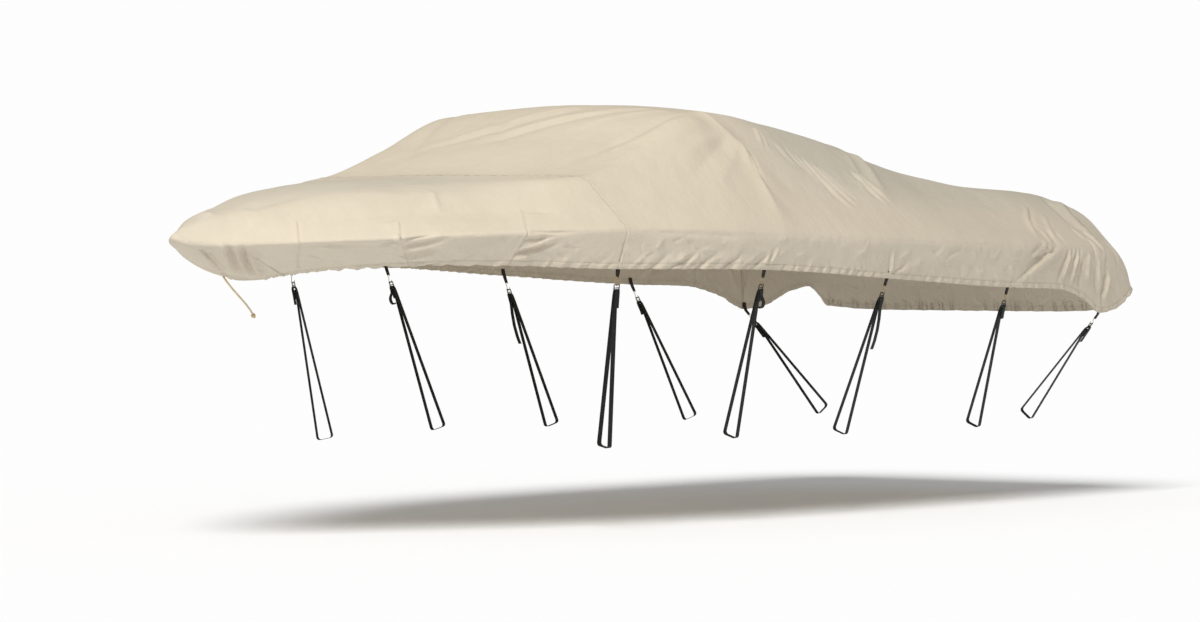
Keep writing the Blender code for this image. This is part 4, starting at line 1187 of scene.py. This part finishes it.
class TieDown:
    """Where one tie-down hangs: its directions at the hem, and below it towards the rail."""

    def __init__(self, gunwale_x, rail, side):
        mirror = np.array((1.0, side, 1.0))
        _, hem, run, down, out = (part[0] for part in skirt_frame([along_at(gunwale_x)]))
        self.hem = (hem - out * TAB_INSET) * mirror
        self.hem_run, self.hem_down, self.hem_out = run * mirror, down * mirror, out * mirror
        way = rail * mirror - self.hem
        self.down = way / np.linalg.norm(way)
        self.fold = self.hem + self.down * TAB_DROP
        self.reach = float(np.linalg.norm(rail * mirror - self.fold))
        run = self.hem_run - self.down * float(self.hem_run @ self.down)
        self.run = run / np.linalg.norm(run)
        out = np.cross(self.down, self.run)
        self.out = out * math.copysign(1.0, float(out @ self.hem_out))

    def place(self, along, outboard, down):
        return self.fold + self.run * along + self.out * outboard + self.down * down


def eased(points, keep):
    """A line with its corners rounded off, straight runs kept straight but for their ends."""
    line = [np.asarray(p, float) for p in points]
    eased_line = [line[0]]
    for a, b in zip(line[:-1], line[1:]):
        length = np.linalg.norm(b - a)
        if length > 3 * keep:
            eased_line += [a + (b - a) * keep / length, b - (b - a) * keep / length]
        eased_line.append(b)
    line = eased_line
    for _ in range(EASING_ROUNDS):
        cut = [line[0]]
        for a, b in zip(line[:-1], line[1:]):
            cut += [a * 0.75 + b * 0.25, a * 0.25 + b * 0.75]
        line = cut + [line[-1]]
    return np.array(line)


def strip_mesh(name, centres, directions, widths, steps_across):
    """A flat tape along its centre line, with a map in metres."""
    rows = len(centres) - 1
    along = distances_along(centres)
    mesh = bmesh.new()
    bmesh.ops.create_grid(mesh, x_segments=steps_across, y_segments=rows, size=1.0)
    tape = mesh.loops.layers.uv.new("tape")
    spot = {}
    for vertex in mesh.verts:
        row = round((vertex.co.y + 1) / 2 * rows)
        aside = vertex.co.x / 2 * widths[row]
        spot[vertex] = (aside, along[row])
        vertex.co = Vector(centres[row] + directions[row] * aside - PEAK)
    for face in mesh.faces:
        for loop in face.loops:
            loop[tape].uv = spot[loop.vert]
    bmesh.ops.recalc_face_normals(mesh, faces=mesh.faces)
    return finished(mesh, name)


def thicken_tape(thing, thickness):
    solid = thing.modifiers.new("thickness", "SOLIDIFY")
    solid.thickness = thickness
    solid.offset = 0.0
    rounded = thing.modifiers.new("edges", "BEVEL")
    rounded.width = thickness * 0.28
    rounded.segments = 2
    rounded.limit_method = "ANGLE"
    rounded.angle_limit = math.radians(60)
    rounded.use_clamp_overlap = True


def tube_mesh(name, line, radii, sides=14, lobes=0.0, lay_length=1.0):
    """A round wire or rope along a line; with lobes, its three strands are laid round each other."""
    rows = len(line) - 1
    along = distances_along(line)
    tangent = unit(np.gradient(line, axis=0))
    side = np.cross(tangent[0], (0.0, 0.0, 1.0) if abs(tangent[0][2]) < 0.9 else (0.0, 1.0, 0.0))
    frames = []
    for direction in tangent:
        side = side - direction * float(side @ direction)
        side = side / np.linalg.norm(side)
        frames.append((side, np.cross(direction, side)))
    mesh = bmesh.new()
    bmesh.ops.create_grid(mesh, x_segments=sides, y_segments=rows, size=1.0)
    lay_layer = mesh.verts.layers.float_vector.new("lay")
    for vertex in mesh.verts:
        row = round((vertex.co.y + 1) / 2 * rows)
        angle = math.pi * (vertex.co.x + 1)
        strand = math.cos(1.5 * (angle - 2 * math.pi * along[row] / lay_length))
        groove = 1 - abs(strand)
        radius = radii[row] * (1 - lobes * groove ** 2)
        vertex[lay_layer] = Vector((angle % (2 * math.pi), along[row], groove ** 3))
        a, b = frames[row]
        vertex.co = Vector(line[row] + (a * math.cos(angle) + b * math.sin(angle)) * radius - PEAK)
    bmesh.ops.remove_doubles(mesh, verts=mesh.verts, dist=1e-6)
    bmesh.ops.holes_fill(mesh, edges=[e for e in mesh.edges if e.is_boundary], sides=0)
    bmesh.ops.recalc_face_normals(mesh, faces=mesh.faces)
    data = finished(mesh, name)
    data.shade_smooth()
    return data


def round_ends(line, radius):
    """The radii of a wire whose two ends are filed round."""
    along = distances_along(line)
    to_end = np.minimum(along, along[-1] - along)
    share = np.clip(to_end / radius, 0.0, 1.0)
    return radius * np.sqrt(np.maximum(1 - (1 - share) ** 2, 0.09))


def add_loop(label, tie):
    """The folded loop of tape: down one layer, round its fold and up the other."""
    centres, directions, widths = [], [], []
    for layer in (1, -1):
        leg = [(tie.hem - tie.hem_down * up + tie.hem_out * TAB_HALF_GAP * layer, tie.hem_run, TAB_TOP)
               for up in (TAB_SEWN, TAB_SEWN / 3)]
        leg.append((tie.place(0, TAB_HALF_GAP * layer, -TAB_DROP * 0.72), tie.run, TAB_TOP))
        leg.append((tie.place(0, TAB_HALF_GAP * layer, -TAB_DROP * 0.42), tie.run, TAB_TOP * 0.95))
        leg.append((tie.place(0, TAB_EYE * 0.8 * layer, -TAB_EYE * 1.5), tie.run, TAB_NARROWED))
        leg.append((tie.place(0, TAB_EYE * layer, 0), tie.run, TAB_FOLD))
        turn = TAB_EYE * math.sqrt(0.5)
        leg.append((tie.place(0, turn * layer, turn), tie.run, TAB_FOLD))
        if layer == 1:
            leg.append((tie.place(0, 0, TAB_EYE), tie.run, TAB_FOLD))
        for centre, direction, width in leg[::layer]:
            centres.append(centre)
            directions.append(direction)
            widths.append(width)
    whole = np.column_stack((centres, directions, widths))
    whole = eased(whole, 0.004)
    centres, directions, widths = whole[:, :3], unit(whole[:, 3:6]), whole[:, 6]
    data = strip_mesh(f"loop_{label}", centres, directions, widths, 8)
    thing = add_piece(f"loop_{label}", data, LOOP_TAPE)
    thicken_tape(thing, TAB_THICK)
    data.shade_smooth()
    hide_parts(f"tab_{label}")
    return thing


def add_hook(label, tie):
    line = eased([tie.place(*point) for point in HOOK_WIRE_PATH], 0.010)
    data = tube_mesh(f"s_hook_{label}", line, round_ends(line, HOOK_WIRE))
    thing = add_piece(f"s_hook_{label}", data, BRASS)
    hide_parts(f"hook_{label}")
    return thing


def add_adjuster(label, tie):
    """The flat adjuster: a plate with a window for the hook and two for the strap."""
    half = BUCKLE_WIDTH / 2
    across = (-half, -half + BUCKLE_BAR, half - BUCKLE_BAR, half)
    downs = [0.0]
    for window in BUCKLE_WINDOWS:
        downs += [downs[-1] + BUCKLE_BAR, downs[-1] + BUCKLE_BAR + window]
    downs.append(downs[-1] + BUCKLE_BAR)
    mesh = bmesh.new()
    bmesh.ops.create_grid(mesh, x_segments=3, y_segments=len(downs) - 1, size=1.0)
    windows = [face for face in mesh.faces if abs(face.calc_center_median().x) < 0.1
               and round((face.calc_center_median().y + 1) / 2 * (len(downs) - 1) - 0.5) % 2 == 1]
    for vertex in mesh.verts:
        col = round((vertex.co.x + 1) / 2 * 3)
        row = round((vertex.co.y + 1) / 2 * (len(downs) - 1))
        vertex.co = (across[col], downs[row], -BUCKLE_THICK / 2)
    bmesh.ops.delete(mesh, geom=windows, context="FACES")
    plate = bmesh.ops.extrude_face_region(mesh, geom=list(mesh.faces))
    raised = [part for part in plate["geom"] if isinstance(part, bmesh.types.BMVert)]
    bmesh.ops.translate(mesh, verts=raised, vec=(0.0, 0.0, BUCKLE_THICK))
    bmesh.ops.recalc_face_normals(mesh, faces=mesh.faces)
    posts = [edge for edge in mesh.edges
             if abs(edge.verts[0].co.z - edge.verts[1].co.z) > BUCKLE_THICK / 2
             and abs(abs(edge.verts[0].co.x) - half) < 1e-5
             and min(edge.verts[0].co.y, downs[-1] - edge.verts[0].co.y) < 1e-5]
    bmesh.ops.bevel(mesh, geom=posts, offset=0.0035, segments=4, profile=0.5, affect="EDGES", material=-1)
    for vertex in mesh.verts:
        x, y, z = vertex.co
        vertex.co = Vector(tie.place(x, z, BUCKLE_TOP + y) - PEAK)
    bmesh.ops.recalc_face_normals(mesh, faces=mesh.faces)
    data = finished(mesh, f"adjuster_{label}")
    data.shade_smooth()
    thing = add_piece(f"adjuster_{label}", data, ENAMEL)
    rounded = thing.modifiers.new("edges", "BEVEL")
    rounded.width = 0.0009
    rounded.segments = 3
    rounded.limit_method = "ANGLE"
    rounded.angle_limit = math.radians(40)
    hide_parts(f"buckle_{label}")
    return thing


def strap_route(number, reach):
    """The strap's centre line from its sewn end round the rail to its tail: (outboard, down)."""
    rail = [(RAIL_HALF, reach - RAIL_CORNER), (RAIL_HALF - RAIL_CORNER * 0.3, reach - RAIL_CORNER * 0.3),
            (RAIL_HALF - RAIL_CORNER, reach)]
    back = [(-out, down) for out, down in rail[::-1]]
    before = [(out, BUCKLE_TOP + down) for out, down in SEWN_END]
    after = [(out, BUCKLE_TOP + down) for out, down in THROUGH_BUCKLE + TAILS[number]]
    return before + rail + back + after


def add_strap(label, number, tie):
    route = eased(strap_route(number, tie.reach), 0.008)
    centres = np.array([tie.place(0, out, down) for out, down in route])
    count = len(centres)
    data = strip_mesh(f"tape_{label}", centres, [tie.run] * count, [WEBBING] * count, 4)
    thing = add_piece(f"tape_{label}", data, TAPE)
    thicken_tape(thing, WEBBING_THICK)
    data.shade_smooth()
    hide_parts(f"strap_{label}")
    leaves = tie.place(0, SEWN_END[0][0], BUCKLE_TOP + SEWN_END[0][1] - 0.020) - PEAK


def add_tie_down(number, gunwale_x, rail, side_name, side):
    tie = TieDown(gunwale_x, rail, side)
    label = f"{side_name}_{number}"
    loop = add_loop(label, tie)
    hook = add_hook(label, tie)
    adjuster = add_adjuster(label, tie)
    add_strap(label, number, tie)


def even_steps(line, count):
    """The same line with points at equal distances."""
    along = distances_along(line)
    steps = np.linspace(0, along[-1], count)
    return np.stack([np.interp(steps, along, line[:, k]) for k in range(3)], -1)


def add_knot(line):
    """A stopper knot round the rope's end: the rope's own turns, laid close together."""
    axis = unit(line[-1] - line[-12])
    aside = unit(np.cross(axis, (0.0, 1.0, 0.0)))
    across = np.cross(axis, aside)
    share = np.linspace(0, 1, KNOT_POINTS)
    angle = 2 * math.pi * KNOT_TURNS * share
    reach = KNOT_REACH * np.sin(math.pi * np.clip(share, 0.04, 0.96)) ** 0.35
    turns = (line[-1] - axis * (KNOT_LENGTH + ROPE) + np.outer(KNOT_LENGTH * share, axis)
             + np.outer(reach * np.cos(angle), aside) + np.outer(reach * np.sin(angle), across))
    turns = even_steps(turns, KNOT_ROWS)
    radii = round_ends(turns, ROPE * KNOT_SQUEEZE)
    data = tube_mesh("bow_line_knot", turns, radii, ROPE_SIDES, ROPE_GROOVE, ROPE_LAY)
    knot = add_piece("bow_line_knot", data, ROPE_YARN)
    return knot


def add_bow_rope():
    """The draw cord's free end: three-strand rope, finished with a stopper knot."""
    line = even_steps(eased(ROPE_ROUTE, 0.05), ROPE_ROWS)
    data = tube_mesh("bow_line", line, round_ends(line, ROPE), ROPE_SIDES, ROPE_GROOVE, ROPE_LAY)
    thing = add_piece("bow_line", data, ROPE_YARN)
    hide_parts("bow_rope")
    add_knot(line)


for number, gunwale_x, *rail in TIES:
    for side_name, side in SIDES:
        add_tie_down(number, gunwale_x, np.array(rail), side_name, side)
add_bow_rope()


# ---------------------------------------------------------------- the three panels
FRONT_CANVAS = canvas_material("front_canvas", (0,), (1,))
BODY_CANVAS = canvas_material("body_canvas", (0, 1), (-1, 1))
STERN_CANVAS = canvas_material("stern_canvas", (1,), (-1,))
add_panel("cover_front", front_parts(), True, FRONT_ERRORS, "front_panel", FRONT_CANVAS)
add_panel("cover_body", body_parts(), False, BODY_ERRORS, "body_panel", BODY_CANVAS)
add_panel("cover_stern", stern_parts(), False, STERN_ERRORS, "stern_panel", STERN_CANVAS)


# ---------------------------------------------------------------- floor and light
FLOOR_RADIUS = 2500.0


def add_floor():
    mesh = bmesh.new()
    bmesh.ops.create_circle(mesh, cap_ends=True, segments=96, radius=FLOOR_RADIUS)
    bmesh.ops.translate(mesh, verts=mesh.verts, vec=(0.0, 0.0, -PEAK[2]))
    data = finished(mesh, "studio_floor")
    floor = bpy.data.objects.new("studio_floor", data)
    bpy.context.scene.collection.objects.link(floor)
    paint, _, shader = new_material("floor_paint", 0.9, specular=0.0)
    shader.inputs["Base Color"].default_value = (0.90, 0.90, 0.90, 1.0)
    data.materials.append(paint)
    floor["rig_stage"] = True


KEY_FROM = Vector((-0.685, -0.315, 0.657))
KEY_DISTANCE = 20.0
KEY_SIZE = 5.0
KEY_POWER = 3200.0
FLOOR_POWER = 3.32
FLOOR_SPREAD = math.radians(24)
SKY_POWER = 0.40
SKY_SEEN = 0.985


def add_lamp(name, kind, power, colour, lit):
    """A light that falls on the given objects alone."""
    data = bpy.data.lights.new(name, kind)
    data.energy = power
    data.color = colour
    lamp = bpy.data.objects.new(name, data)
    lamp.rotation_euler = KEY_FROM.to_track_quat("Z", "Y").to_euler()
    bpy.context.scene.collection.objects.link(lamp)
    receivers = bpy.data.collections.new(f"lit_by_{name}")
    for thing in lit:
        receivers.objects.link(thing)
    lamp.light_linking.receiver_collection = receivers
    return lamp, data


def add_light():
    """A broad soft lamp above the port bow for the cover, an even light for the floor, a pale sky."""
    floor = [thing for thing in bpy.data.objects if thing.type == "MESH" and thing.get("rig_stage")]
    cover = [thing for thing in bpy.data.objects if thing.type == "MESH" and thing not in floor]
    key, data = add_lamp("key", "AREA", KEY_POWER, (1.0, 0.968, 0.905), cover)
    data.shape = "DISK"
    data.size = KEY_SIZE
    key.location = KEY_FROM * KEY_DISTANCE
    _, data = add_lamp("even", "SUN", FLOOR_POWER, (1.0, 1.0, 1.0), floor)
    data.angle = FLOOR_SPREAD
    world = bpy.data.worlds.new("studio")
    bpy.context.scene.world = world
    world.use_nodes = True
    f = Finish(world.node_tree)
    sky = world.node_tree.nodes["Background"]
    sky.inputs["Color"].default_value = (1.0, 1.0, 1.0, 1.0)
    seen = f.node("ShaderNodeLightPath").outputs["Is Camera Ray"]
    f.tree.links.new(f.node("ShaderNodeMapRange", {0: seen, 3: SKY_POWER, 4: SKY_SEEN}).outputs[0],
                     sky.inputs["Strength"])
    bpy.context.scene.view_settings.view_transform = "Standard"


add_floor()
add_light()
